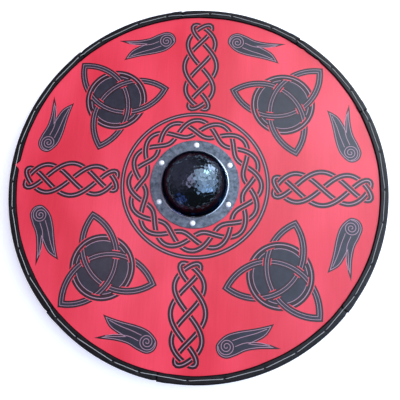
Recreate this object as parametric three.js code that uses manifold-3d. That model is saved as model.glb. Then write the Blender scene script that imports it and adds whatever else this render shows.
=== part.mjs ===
// A round wooden shield: a painted board, a steel boss held by six rivets, a wooden grip bar across the
// back, and leather strips folded over the edge and stitched. Millimetres, +Z up. The shield lies face up,
// with the middle of the grip bar's underside at the origin.
import * as THREE from "three";
import { mergeVertices } from "three/addons/utils/BufferGeometryUtils.js";
import Module from "manifold-3d";

const wasm = await Module();
wasm.setup();
// Whole shield
const SHIELD_RADIUS = 305;
const GAP = 0.3;
const HALF_TURN = Math.PI;
const FULL_TURN = 2 * Math.PI;

// Grip bar: half widths at distances from the middle, thickness, and the rounding of its long edges
const BAR_OUTLINE = [
  [0, 16],
  [30, 16.5],
  [64, 21],
  [120, 19.5],
  [190, 15],
  [205, 12],
  [210, 5],
];
const BAR_THICKNESS = 20;
const BAR_ROUNDING = 4;
const BAR_OUTLINE_STEPS = 8;

// Board, which rests on the grip bar
const BOARD_THICKNESS = 9;
const BOARD_BACK = BAR_THICKNESS + GAP;
const BOARD_FACE = BOARD_BACK + BOARD_THICKNESS;
const BOARD_SEGMENTS = 48;
const HAND_HOLE_RADIUS = 49;

// Boss
const BOSS_SHEET = 1.6;
const FLANGE_RADIUS = 72;
const DOME_RADIUS = 52.5;
const DOME_HEIGHT = 50;
const FOOT_RADIUS = 3;
const BOSS_SEGMENTS = 36;
const BOSS_BACK = BOARD_FACE + GAP;

// Rivets: the first stands at the top, on the grip bar's line
const RIVET_COUNT = 6;
const RIVET_CIRCLE = 63.5;
const RIVET_SHANK_RADIUS = 2.2;
const RIVET_HOLE_RADIUS = 2.6;
const RIVET_HEAD_RADIUS = 4.6;
const RIVET_HEAD_HEIGHT = 2.6;
const RIVET_TAIL_RADIUS = 3.8;
const RIVET_TAIL_HEIGHT = 1.5;
const RIVET_SEGMENTS = 10;
const COUNTERBORE_RADIUS = 7;
const COUNTERBORE_DEPTH = 5;

// Leather edging: the angles where one strip ends and the next lies over it, and the one open butt joint
const JOINT_ANGLES = [26, 57, 97, 133, 176, 224, 262, 322];
const BUTT_JOINT = 176;
const BUTT_OPENING = 3.5;
const LEATHER_THICKNESS = 2;
const LEATHER_WIDTH = 14;
const EDGE_CLEARANCE = 0.6;
const LAP_LENGTH = 14;
const LAP_RAMP = 7;
const LAP_UNDER = 0.9;
const LAP_OVER = 2.5;
const LAP_CLEARANCE = 1;
const STRIP_STEP = 5;
const BOARD_RADIUS = SHIELD_RADIUS - LEATHER_THICKNESS - EDGE_CLEARANCE;

// Stitching: hand paced, so the holes wander a little from an even spacing
const STITCH_COUNT = 32;
const STITCH_CIRCLE = SHIELD_RADIUS - 7;
const STITCH_WANDER = 1.5;
const AWL_HOLE_RADIUS = 1.5;
const THREAD_RADIUS = 0.7;
const THREAD_SHANK_RADIUS = 1.05;
const THREAD_STANDOFF = GAP + LAP_OVER + GAP + THREAD_RADIUS;

// Materials
const PAINTED_WOOD = { color: 0xe0415c, roughness: 0.5, metalness: 0 };
const BARE_WOOD = { color: 0xb98d5e, roughness: 0.7, metalness: 0 };
const BLACK_STEEL = { color: 0x15161a, roughness: 0.25, metalness: 0.8 };
const BRIGHT_STEEL = { color: 0xd4d6d8, roughness: 0.3, metalness: 1 };
const BLACK_LEATHER = { color: 0x1b1a1c, roughness: 0.55, metalness: 0 };
const GREY_THREAD = { color: 0x8f8f8c, roughness: 0.8, metalness: 0 };

const radians = THREE.MathUtils.degToRad;

// A point at a radius, an angle and a height
function polar(radius, angle, height = 0) {
  return new THREE.Vector3(radius * Math.cos(angle), radius * Math.sin(angle), height);
}

// The same geometry with only its position, its shared vertices joined
function bare(geometry) {
  const copy = geometry.clone();
  copy.deleteAttribute("normal");
  copy.deleteAttribute("uv");
  return mergeVertices(copy, 1e-4);
}

function toSolid(geometry) {
  const { attributes, index } = bare(geometry);
  return new wasm.Manifold(
    new wasm.Mesh({
      numProp: 3,
      vertProperties: new Float32Array(attributes.position.array),
      triVerts: new Uint32Array(index.array),
    }),
  );
}

function toGeometry(solid) {
  const { vertProperties, triVerts } = solid.getMesh();
  const geometry = new THREE.BufferGeometry();
  geometry.setAttribute("position", new THREE.BufferAttribute(vertProperties, 3));
  geometry.setIndex(new THREE.BufferAttribute(triVerts, 1));
  geometry.computeVertexNormals();
  return geometry;
}

function without(solid, cutters) {
  return cutters.reduce((left, cutter) => left.subtract(cutter), solid);
}

// An upright prism between two heights, for shanks and the holes they pass through
function uprightPrism(center, radius, low, high, sides) {
  const prism = new THREE.CylinderGeometry(radius, radius, high - low, sides);
  prism.rotateX(HALF_TURN / 2);
  prism.rotateZ(Math.atan2(center.y, center.x));
  return prism.translate(center.x, center.y, (low + high) / 2);
}

// Places

function rivetPlaces() {
  return Array.from({ length: RIVET_COUNT }, (_, i) =>
    polar(RIVET_CIRCLE, HALF_TURN / 2 - (i * FULL_TURN) / RIVET_COUNT),
  );
}

// Two slow waves of different pace move each hole off its even place, by a few millimetres
function stitchPlaces() {
  return Array.from({ length: STITCH_COUNT }, (_, i) => {
    const wander = STITCH_WANDER * (Math.sin(2.9 * i + 0.2) + 0.6 * Math.sin(1.3 * i + 0.1));
    return polar(STITCH_CIRCLE, (FULL_TURN * i) / STITCH_COUNT + radians(wander));
  });
}

const onGripBar = (place) => Math.abs(place.x) < COUNTERBORE_RADIUS;

// Board: a disc with the hand hole, six rivet holes and the awl holes of the stitching

function makeBoard() {
  const outline = new THREE.Shape().absarc(0, 0, BOARD_RADIUS, 0, FULL_TURN);
  const round = (center, radius, sides) => {
    const turn = Math.atan2(center.y, center.x);
    const corners = Array.from({ length: sides }, (_, i) =>
      polar(radius, turn + (i * FULL_TURN) / sides).add(center),
    );
    return new THREE.Path(corners.map(({ x, y }) => new THREE.Vector2(x, y)));
  };
  outline.holes = [
    round(new THREE.Vector3(), HAND_HOLE_RADIUS, BOSS_SEGMENTS),
    ...rivetPlaces().map((place) => round(place, RIVET_HOLE_RADIUS, RIVET_SEGMENTS)),
    ...stitchPlaces().map((place) => round(place, AWL_HOLE_RADIUS, 4)),
  ];
  const board = new THREE.ExtrudeGeometry(outline, {
    depth: BOARD_THICKNESS,
    curveSegments: BOARD_SEGMENTS,
    bevelEnabled: false,
  });
  return bare(board.translate(0, 0, BOARD_BACK));
}

// Boss: one sheet turned about the axis, from the inside of the dome's top round the flange to the outside

function makeBoss() {
  const footCenter = new THREE.Vector2(DOME_RADIUS + FOOT_RADIUS, BOSS_SHEET + FOOT_RADIUS);
  const arc = (center, radiusX, radiusY, from, to, steps) =>
    Array.from({ length: steps + 1 }, (_, i) => {
      const angle = radians(from + ((to - from) * i) / steps);
      return new THREE.Vector2(
        center.x + radiusX * Math.cos(angle),
        center.y + radiusY * Math.sin(angle),
      );
    });
  const springing = new THREE.Vector2(0, footCenter.y);
  const rise = DOME_HEIGHT - springing.y;
  const inside = arc(springing, DOME_RADIUS - BOSS_SHEET, rise - BOSS_SHEET, 90, 0, 5);
  const insideFoot = arc(footCenter, FOOT_RADIUS + BOSS_SHEET, footCenter.y, 180, 270, 2);
  const outsideFoot = arc(footCenter, FOOT_RADIUS, FOOT_RADIUS, 270, 180, 2);
  const outside = arc(springing, DOME_RADIUS, rise, 0, 90, 8);
  inside[0].x = 0;
  outside[outside.length - 1].x = 0;
  const profile = [
    ...inside,
    ...insideFoot.slice(1),
    new THREE.Vector2(FLANGE_RADIUS, 0),
    new THREE.Vector2(FLANGE_RADIUS, BOSS_SHEET),
    ...outsideFoot,
    ...outside.slice(1),
  ];
  const sheet = new THREE.LatheGeometry(profile, BOSS_SEGMENTS);
  sheet.rotateX(HALF_TURN / 2);
  const holes = rivetPlaces().map((place) =>
    toSolid(uprightPrism(place, RIVET_HOLE_RADIUS, -BOSS_SHEET, 2 * BOSS_SHEET, RIVET_SEGMENTS)),
  );
  return toGeometry(without(toSolid(sheet), holes)).translate(0, 0, BOSS_BACK);
}

// Rivet: a domed head on the flange, a shank, and a tail hammered over at the back

function makeRivet(tailTop) {
  const headBase = BOSS_BACK + BOSS_SHEET + GAP;
  const dome = (radius, height, base) =>
    [0, 45, 90].map((turn) => {
      const angle = radians(turn);
      return new THREE.Vector2(radius * Math.cos(angle), base + height * Math.sin(angle));
    });
  const tail = dome(RIVET_TAIL_RADIUS, -RIVET_TAIL_HEIGHT, tailTop).reverse();
  const head = dome(RIVET_HEAD_RADIUS, RIVET_HEAD_HEIGHT, headBase);
  tail[0].x = 0;
  head[head.length - 1].x = 0;
  const profile = [
    ...tail,
    new THREE.Vector2(RIVET_SHANK_RADIUS, tailTop),
    new THREE.Vector2(RIVET_SHANK_RADIUS, headBase),
    ...head,
  ];
  return bare(new THREE.LatheGeometry(profile, RIVET_SEGMENTS).rotateX(HALF_TURN / 2));
}

// Grip bar: waisted at the hand, widest at the rivets, tapered to round ends, with its long edges eased

function makeGripBar() {
  const side = new THREE.SplineCurve(BAR_OUTLINE.map(([along, half]) => new THREE.Vector2(half, along)));
  const quarter = side.getPoints(BAR_OUTLINE_STEPS);
  const flip = (points, x, y) => points.map((p) => new THREE.Vector2(x * p.x, y * p.y));
  const outline = new THREE.Shape([
    ...quarter,
    ...flip(quarter, -1, 1).reverse(),
    ...flip(quarter, -1, -1).slice(1),
    ...flip(quarter, 1, -1).reverse().slice(0, -1),
  ]);
  const blank = new THREE.ExtrudeGeometry(outline, {
    depth: BAR_THICKNESS - 2 * BAR_ROUNDING,
    bevelThickness: BAR_ROUNDING,
    bevelSize: BAR_ROUNDING,
    bevelOffset: -BAR_ROUNDING,
    bevelSegments: 2,
  }).translate(0, 0, BAR_ROUNDING);
  const holes = rivetPlaces()
    .filter(onGripBar)
    .flatMap((place) => [
      uprightPrism(place, RIVET_HOLE_RADIUS, -GAP, BOARD_BACK, RIVET_SEGMENTS),
      uprightPrism(place, COUNTERBORE_RADIUS, -GAP, COUNTERBORE_DEPTH, 2 * RIVET_SEGMENTS),
    ]);
  return toGeometry(without(toSolid(blank), holes.map(toSolid)));
}

// Leather edging: a strip's section is a C folded over the board's edge. Every corner of the section stands
// off the board by the strip's inner or outer offset there, in its own direction: the outer face rounds each
// bend in three corners, and the inner face has one mitre.

const SECTION = (() => {
  const legEnd = SHIELD_RADIUS - LEATHER_WIDTH;
  const bend = SHIELD_RADIUS - LEATHER_THICKNESS;
  const back = BOARD_BACK - GAP;
  const front = BOARD_FACE + GAP;
  const outer = (r, z, turn) => ({ r, z, face: "outer", away: polar(1, radians(turn)) });
  const inner = (r, z, turn) => ({ r, z, face: "inner", away: polar(1, radians(turn)) });
  const mitre = (z, turn) => ({ r: bend, z, face: "inner", away: polar(Math.SQRT2, radians(turn)) });
  return [
    outer(legEnd, back, -90),
    ...[-90, -45, 0].map((turn) => outer(bend, back, turn)),
    ...[0, 45, 90].map((turn) => outer(bend, front, turn)),
    outer(legEnd, front, 90),
    inner(legEnd, front, 90),
    mitre(front, 45),
    mitre(back, -45),
    inner(legEnd, back, -90),
  ];
})();

function sectionPlace({ r, z, face, away }, station) {
  return new THREE.Vector2(r + away.x * station[face], z + away.y * station[face]);
}

// A strip's stations along the edge, from one joint to the next: where each is, and how far the strip's two
// faces stand off the board. Its start lies over the strip before it, and its end is thinned to go under the
// next one. At the butt joint it stops short instead.
function stripStations(start, end) {
  const turn = (length) => length / SHIELD_RADIUS;
  const lapped = (joint) => joint !== BUTT_JOINT;
  const from = radians(start) + turn(lapped(start) ? LAP_LENGTH + LAP_RAMP : BUTT_OPENING / 2);
  const to = radians(end) - turn(lapped(end) ? LAP_RAMP : BUTT_OPENING / 2);
  const over = [0, LAP_LENGTH].map((along) => ({
    angle: radians(start) + turn(along),
    inner: LAP_UNDER + GAP,
    outer: LAP_OVER,
  }));
  const under = [-LAP_CLEARANCE, LAP_LENGTH - LAP_CLEARANCE].map((along) => ({
    angle: radians(end) + turn(along),
    inner: 0,
    outer: LAP_UNDER,
  }));
  const steps = Math.ceil((to - from) / radians(STRIP_STEP));
  const full = Array.from({ length: steps + 1 }, (_, i) => ({
    angle: from + ((to - from) * i) / steps,
    inner: 0,
    outer: LEATHER_THICKNESS,
  }));
  return [...(lapped(start) ? over : []), ...full, ...(lapped(end) ? under : [])];
}

function makeStrip(start, end) {
  const stations = stripStations(start, end);
  const corners = SECTION.map((corner) => sectionPlace(corner, { inner: 0, outer: LEATHER_THICKNESS }));
  const strip = new THREE.ExtrudeGeometry(new THREE.Shape(corners), {
    depth: stations.length - 1,
    steps: stations.length - 1,
    bevelEnabled: false,
  });
  // Radius, height and station are a left-handed set, so the stations are taken from the last to the first
  const place = strip.attributes.position;
  for (let i = 0; i < place.count; i++) {
    const drawn = new THREE.Vector2(place.getX(i), place.getY(i));
    const nearest = corners.map((corner) => corner.distanceTo(drawn));
    const corner = SECTION[nearest.indexOf(Math.min(...nearest))];
    const station = stations.at(-1 - Math.round(place.getZ(i)));
    const { x: radius, y: height } = sectionPlace(corner, station);
    place.setXYZ(i, ...polar(radius, station.angle, height).toArray());
  }
  const low = BOARD_BACK - THREAD_STANDOFF;
  const high = BOARD_FACE + THREAD_STANDOFF;
  const holes = stitchPlaces().map((hole) => toSolid(uprightPrism(hole, AWL_HOLE_RADIUS, low, high, 4)));
  return toGeometry(without(toSolid(strip), holes));
}

// Stitching: one thread in straight stitches on both faces, joined by a shank through each awl hole

function makeStitching() {
  const holes = stitchPlaces();
  const low = BOARD_BACK - THREAD_STANDOFF;
  const high = BOARD_FACE + THREAD_STANDOFF;
  const stitch = (from, to, height) => {
    const run = to.clone().sub(from);
    const thread = new THREE.CylinderGeometry(THREAD_RADIUS, THREAD_RADIUS, run.length(), 4);
    thread.rotateZ(Math.atan2(run.y, run.x) - HALF_TURN / 2);
    const middle = from.clone().lerp(to, 0.5);
    return thread.translate(middle.x, middle.y, height);
  };
  const lengths = holes.flatMap((hole, i) => {
    const next = holes[(i + 1) % holes.length];
    return [
      uprightPrism(hole, THREAD_SHANK_RADIUS, low - THREAD_RADIUS, high + THREAD_RADIUS, 4),
      stitch(hole, next, high),
      stitch(hole, next, low),
    ];
  });
  return toGeometry(wasm.Manifold.union(lengths.map(toSolid)));
}

// Scene

const shield = new THREE.Group();

function addPiece(name, geometry, finish) {
  const piece = new THREE.Mesh(geometry, new THREE.MeshStandardMaterial(finish));
  piece.name = name;
  shield.add(piece);
  return piece;
}

addPiece("board", makeBoard(), PAINTED_WOOD);
addPiece("boss", makeBoss(), BLACK_STEEL);
addPiece("grip_bar", makeGripBar(), BARE_WOOD);
addPiece("edging_stitching", makeStitching(), GREY_THREAD);

rivetPlaces().forEach((place, i) => {
  const tailTop = (onGripBar(place) ? COUNTERBORE_DEPTH : BOARD_BACK) - GAP;
  addPiece(`rivet_${i + 1}`, makeRivet(tailTop), BRIGHT_STEEL).position.copy(place);
});

JOINT_ANGLES.forEach((angle, i) => {
  const next = JOINT_ANGLES[i + 1] ?? JOINT_ANGLES[0] + 360;
  addPiece(`edging_strip_${i + 1}`, makeStrip(angle, next), BLACK_LEATHER);
});

export default shield;
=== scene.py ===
"""A round wooden shield, lying face up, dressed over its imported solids.

Every length is in millimetres until a mesh is made, and every place is in the row frame: the middle of the
grip bar's underside at the origin, +Z out of the painted face, +Y along the grip bar.
"""
from __future__ import annotations

import logging
import math
from dataclasses import dataclass, field
from enum import IntEnum
from typing import Any

import bmesh
import bpy
import numpy as np
from mathutils import Matrix, Vector
from mathutils.geometry import delaunay_2d_cdt


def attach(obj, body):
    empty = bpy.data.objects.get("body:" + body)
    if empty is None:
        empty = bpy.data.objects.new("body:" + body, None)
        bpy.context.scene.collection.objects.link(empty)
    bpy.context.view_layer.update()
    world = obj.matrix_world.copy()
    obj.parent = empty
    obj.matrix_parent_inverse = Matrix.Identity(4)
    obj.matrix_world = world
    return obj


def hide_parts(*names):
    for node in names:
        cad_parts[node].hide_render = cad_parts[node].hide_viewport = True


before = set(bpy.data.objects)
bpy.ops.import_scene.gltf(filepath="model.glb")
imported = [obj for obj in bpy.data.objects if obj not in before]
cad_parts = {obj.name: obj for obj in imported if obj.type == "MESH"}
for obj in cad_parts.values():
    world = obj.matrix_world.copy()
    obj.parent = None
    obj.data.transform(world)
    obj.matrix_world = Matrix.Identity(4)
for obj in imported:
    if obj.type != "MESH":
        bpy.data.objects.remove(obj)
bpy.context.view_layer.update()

logging.basicConfig(level=logging.INFO, format="%(message)s")
log = logging.getLogger("shield")

Array = np.ndarray
MM = 0.001
TAU = 2 * math.pi
BODY = "root"
GOLDEN_ANGLE = 2.399963
SHARP_TURN = 0.44
RGBA = {"data_type": "RGBA"}


def polar(radius: Array | float, angle: Array | float) -> Array:
    """Points on the face plane at a radius and an angle in radians.

    Args:
        radius: Distances from the shield's axis.
        angle: Angles from +X, anticlockwise.

    Returns:
        An array of x, y rows.
    """
    return np.stack(np.broadcast_arrays(radius * np.cos(angle), radius * np.sin(angle)), axis=-1)


def wander(angle: Array | float, seed: float, waves: tuple[float, ...] = (3, 7, 13, 29, 47)) -> Array:
    """A smooth irregular value round the shield: a sum of sines with falling strength.

    Args:
        angle: Angles in radians.
        seed: Shifts the phases, so that each use differs.
        waves: Waves per turn, whole numbers so that the value closes on itself.

    Returns:
        Values of about -1 to 1.
    """
    angle = np.asarray(angle, float)
    total = sum(np.sin(w * angle + seed * (i + 1.7) * 2.3) / (i + 1.5) for i, w in enumerate(waves))
    return total / sum(1 / (i + 1.5) for i in range(len(waves))) * 1.6


def ease(value: Array | float) -> Array:
    """The smooth step 3t^2 - 2t^3 of a value held between 0 and 1."""
    t = np.clip(value, 0.0, 1.0)
    return t * t * (3 - 2 * t)


def grid_faces(rows: int, columns: int, wrap_rows: bool = False, wrap_columns: bool = False) -> Array:
    """Quads that join neighbouring points of a grid stored row by row.

    Args:
        rows: Rows of points.
        columns: Points in a row.
        wrap_rows: Whether the last row joins the first.
        wrap_columns: Whether the last point of a row joins its first.

    Returns:
        Rows of four point numbers.
    """
    i = np.arange(rows if wrap_rows else rows - 1)
    j = np.arange(columns if wrap_columns else columns - 1)
    i, j = np.meshgrid(i, j, indexing="ij")
    down, right = (i + 1) % rows, (j + 1) % columns
    corners = (i * columns + j, i * columns + right, down * columns + right, down * columns + j)
    return np.stack(corners, axis=-1).reshape(-1, 4)


def tube_faces(rings: int, sides: int) -> list[list[int]]:
    """The faces of a tube: rings with a point for each side, and a flat cap at each end."""
    faces = grid_faces(rings, sides, wrap_columns=True).tolist()
    last = (rings - 1) * sides
    return faces + [list(range(sides))[::-1], list(range(last, last + sides))]


def make_object(name: str, points: Array, faces: list[Any] | Array,
                smooth: bool = True) -> bpy.types.Object:
    """A mesh object at the origin.

    Args:
        name: The piece's name.
        points: x, y, z rows in millimetres.
        faces: Point numbers of each face.
        smooth: Whether faces are shaded smooth.

    Returns:
        The new object, linked to the scene.
    """
    mesh = bpy.data.meshes.new(name)
    mesh.from_pydata((np.asarray(points, float) * MM).tolist(), [], [list(map(int, f)) for f in faces])
    mesh.polygons.foreach_set("use_smooth", np.full(len(mesh.polygons), smooth))
    mesh.validate()
    mesh.update()
    made = bpy.data.objects.new(name, mesh)
    bpy.context.scene.collection.objects.link(made)
    return made


def tidy_mesh(piece: bpy.types.Object, merge_mm: float = 0.002) -> None:
    """Merge doubled points and turn every normal outward.

    Args:
        piece: The object to mend.
        merge_mm: Points nearer than this become one.
    """
    work = bmesh.new()
    work.from_mesh(piece.data)
    bmesh.ops.remove_doubles(work, verts=work.verts, dist=merge_mm * MM)
    bmesh.ops.dissolve_degenerate(work, edges=work.edges, dist=1e-9)
    bmesh.ops.recalc_face_normals(work, faces=work.faces)
    work.to_mesh(piece.data)
    work.free()
    piece.data.update()


def turned_solid(name: str, profile: Array, place: Array, segments: int) -> bpy.types.Object:
    """A profile turned about an upright axis: x = r cos a, y = r sin a, z = z.

    Args:
        name: The piece's name.
        profile: Radius and height rows, from the axis round to the axis.
        place: x, y of the axis.
        segments: Steps round the turn.

    Returns:
        The closed object.
    """
    angle = np.arange(segments) * TAU / segments
    ring = polar(profile[:, :1], angle[None, :])
    height = np.broadcast_to(profile[:, 1:2], ring.shape[:2])
    points = np.concatenate([ring + place, height[..., None]], axis=-1).reshape(-1, 3)
    made = make_object(name, points, grid_faces(len(profile), segments, wrap_columns=True))
    tidy_mesh(made)
    return made


def dress(piece: bpy.types.Object, slot: str, nodes: tuple[str, ...],
          *materials: bpy.types.Material) -> None:
    """Give a piece its materials and its body, and hide the nodes that it stands for.

    Args:
        piece: The finished object.
        slot: The record's material slot; not used.
        nodes: The solids that the piece replaces.
        materials: Its materials, in the order of its material numbers.
    """
    for material in materials:
        piece.data.materials.append(material)
    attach(piece, BODY)
    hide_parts(*nodes)
    log.info("%s: %d faces", piece.name, len(piece.data.polygons))


def linear(colour: str) -> tuple[float, float, float, float]:
    """An sRGB hex colour as linear values.

    Args:
        colour: Six hex digits after a #.

    Returns:
        Linear red, green, blue and an alpha of 1.
    """
    parts = [int(colour[i:i + 2], 16) / 255 for i in (1, 3, 5)]
    red, green, blue = (c / 12.92 if c <= 0.04045 else ((c + 0.055) / 1.055) ** 2.4 for c in parts)
    return red, green, blue, 1.0


def feed(node: bpy.types.Node, inputs: dict[Any, Any]) -> None:
    """Give a node's inputs their values or their links.

    Args:
        node: The node.
        inputs: By an input's name or number: a value, a socket, or a node for its first output.
    """
    for key, value in inputs.items():
        if isinstance(value, bpy.types.Node):
            value = value.outputs[0]
        if isinstance(value, bpy.types.NodeSocket):
            node.id_data.links.new(value, node.inputs[key])
        else:
            node.inputs[key].default_value = value


def add(tree: bpy.types.NodeTree, kind: str, settings: dict[Any, Any] | None = None,
        links: dict[Any, Any] | None = None) -> bpy.types.Node:
    """Add a node with its settings and links.

    Args:
        tree: The material's or world's node tree.
        kind: The node's type without its ShaderNode prefix.
        settings: Values by property name, or by socket name or number.
        links: What feeds each input, by its name or number, as for feed.

    Returns:
        The new node.
    """
    node = tree.nodes.new("ShaderNode" + kind)
    for key, value in (settings or {}).items():
        if isinstance(key, str) and hasattr(node, key):
            setattr(node, key, value)
        else:
            node.inputs[key].default_value = value
    feed(node, links or {})
    return node


def per_mm(size: float) -> float:
    """A texture scale on Object coordinates, in metres, for a pattern of a size in millimetres."""
    return 1000.0 / size


def start_material(name: str) -> tuple[bpy.types.Material, bpy.types.NodeTree, bpy.types.Node, Any]:
    """A new material with a Principled surface and Object coordinates.

    Args:
        name: The material's name.

    Returns:
        The material, its tree, its Principled node and the Object coordinates' socket.
    """
    material = bpy.data.materials.new(name)
    material.use_nodes = True
    tree = material.node_tree
    tree.nodes.clear()
    surface = add(tree, "BsdfPrincipled")
    add(tree, "OutputMaterial", links={"Surface": surface.outputs[0]})
    return material, tree, surface, add(tree, "TexCoord").outputs["Object"]


@dataclass(frozen=True)
class PaintedBirch:
    """Rolled satin acrylic on birch plywood: flat strong red over a faint veneer grain, and a pattern
    brushed on in black, slate grey and a dull pink line."""

    red: str = "#EC4254"
    red_deep: str = "#D62C3C"
    black: str = "#1B060D"
    black_worn: str = "#270E15"
    slate: str = "#1E1E28"
    slate_pale: str = "#272832"
    line: str = "#A07A86"
    roughness: float = 0.31
    gloss: float = 0.45

    def build(self) -> bpy.types.Material:
        """The painted face's material, read from the mesh's own paint attribute."""
        material, tree, surface, where = start_material("satin acrylic on birch plywood")
        deep = linear(self.red_deep)
        drawn = add(tree, "Mapping", {"Scale": (1, 0.04, 1)}, {"Vector": where})
        grain = add(tree, "TexNoise", {"Scale": per_mm(2.2), "Detail": 4.0, "Roughness": 0.6},
                    {"Vector": drawn})
        drawn = add(tree, "Mapping", {"Scale": (1, 0.5, 1)}, {"Vector": where})
        broad = add(tree, "TexNoise", {"Scale": per_mm(90), "Detail": 2.0}, {"Vector": drawn})
        share = add(tree, "MapRange", {"From Min": 0.35, "From Max": 0.65}, {"Value": broad})
        red = add(tree, "Mix", RGBA, {0: share, 6: linear(self.red), 7: deep}).outputs[2]
        share = add(tree, "MapRange", {"From Min": 0.35, "From Max": 0.75, "To Max": 0.16},
                    {"Value": grain})
        red = add(tree, "Mix", {**RGBA, "blend_type": "MULTIPLY"}, {0: share, 6: red, 7: deep}).outputs[2]
        patches = add(tree, "TexNoise", {"Scale": per_mm(14), "Detail": 5.0, "Roughness": 0.65},
                      {"Vector": where})
        worn = add(tree, "MapRange", {"From Min": 0.4, "From Max": 0.62}, {"Value": patches})
        black = {0: worn, 6: linear(self.black), 7: linear(self.black_worn)}
        slate = {0: worn, 6: linear(self.slate), 7: linear(self.slate_pale)}
        coats = (add(tree, "Mix", RGBA, black).outputs[2], add(tree, "Mix", RGBA, slate).outputs[2],
                 linear(self.line))
        paint = add(tree, "Attribute", {"attribute_name": "paint"})
        part = add(tree, "SeparateColor", links={0: paint})
        colour = red
        for number, coat in enumerate(coats):
            colour = add(tree, "Mix", RGBA, {0: part.outputs[number], 6: colour, 7: coat}).outputs[2]
        uneven = add(tree, "TexNoise", {"Scale": per_mm(45), "Detail": 1.0}, {"Vector": where})
        rough = add(tree, "MapRange", {"From Min": 0.2, "From Max": 0.8, "To Min": self.roughness - 0.03,
                                       "To Max": self.roughness + 0.04}, {"Value": uneven})
        stipple = add(tree, "TexNoise", {"Scale": per_mm(0.9), "Detail": 2.0}, {"Vector": where})
        stipple = add(tree, "Bump", {"Distance": 0.008 * MM}, {"Height": stipple})
        relief = add(tree, "Bump", {"Distance": 0.02 * MM}, {"Height": grain, "Normal": stipple})
        feed(surface, {"Base Color": colour, "Roughness": rough, "Normal": relief,
                       "Specular IOR Level": self.gloss})
        return material


@dataclass(frozen=True)
class BareBirch:
    """Sanded birch plywood: cream veneer with fine darker grain, and its plies in bands on a cut edge."""

    pale: str = "#D9BE93"
    dark: str = "#B98F5C"
    back_mm: float = 20.3
    face_mm: float = 29.3
    ply_mm: float = 1.5
    roughness: float = 0.62

    def build(self) -> bpy.types.Material:
        """The bare back and the cut edges."""
        material, tree, surface, where = start_material("sanded birch plywood")
        pale, dark = linear(self.pale), linear(self.dark)
        drawn = add(tree, "Mapping", {"Scale": (1, 0.12, 1)}, {"Vector": where})
        warp = add(tree, "TexNoise", {"Scale": per_mm(60), "Detail": 2.0}, {"Vector": drawn})
        drawn = add(tree, "Mapping", {"Scale": (1, 0.1, 1)}, {"Vector": where})
        lines = add(tree, "TexWave", {"wave_type": "BANDS", "bands_direction": "X", "Scale": per_mm(90),
                                      "Distortion": 9.0, "Detail": 3.0, "Detail Scale": 1.4},
                    {"Vector": drawn}).outputs["Fac"]
        drawn = add(tree, "Mapping", {"Scale": (1, 0.03, 1)}, {"Vector": where})
        grain = add(tree, "TexNoise", {"Scale": per_mm(1.6), "Detail": 4.0, "Roughness": 0.65},
                    {"Vector": drawn})
        share = add(tree, "MapRange", {"From Min": 0.2, "From Max": 0.9, "To Max": 0.75}, {"Value": lines})
        tone = add(tree, "Mix", RGBA, {0: share, 6: pale, 7: dark}).outputs[2]
        share = add(tree, "MapRange", {"From Min": 0.4, "From Max": 0.7, "To Max": 0.5}, {"Value": warp})
        tone = add(tree, "Mix", RGBA, {0: share, 6: tone, 7: pale}).outputs[2]
        share = add(tree, "MapRange", {"From Min": 0.45, "From Max": 0.75, "To Max": 0.45},
                    {"Value": grain})
        tone = add(tree, "Mix", RGBA, {0: share, 6: tone, 7: dark}).outputs[2]
        height = add(tree, "SeparateXYZ", links={0: where}).outputs[2]
        turns = TAU * (self.face_mm - self.back_mm) / self.ply_mm
        rise = add(tree, "MapRange", {"From Min": self.back_mm * MM, "From Max": self.face_mm * MM,
                                      "To Max": turns}, {"Value": height})
        plies = add(tree, "Math", {"operation": "SINE"}, {0: rise})
        share = add(tree, "MapRange", {"From Min": -0.4, "From Max": 0.4}, {"Value": plies})
        edge = add(tree, "Mix", RGBA, {0: share, 6: pale, 7: dark}).outputs[2]
        normal = add(tree, "NewGeometry").outputs["Normal"]
        upright = add(tree, "SeparateXYZ", links={0: normal}).outputs[2]
        flat = add(tree, "Math", {"operation": "ABSOLUTE"}, {0: upright})
        share = add(tree, "MapRange", {"From Min": 0.4, "From Max": 0.6}, {"Value": flat})
        colour = add(tree, "Mix", RGBA, {0: share, 6: edge, 7: tone}).outputs[2]
        relief = add(tree, "Bump", {"Distance": 0.08 * MM}, {"Height": grain})
        feed(surface, {"Base Color": colour, "Roughness": self.roughness, "Normal": relief})
        return material


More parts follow.
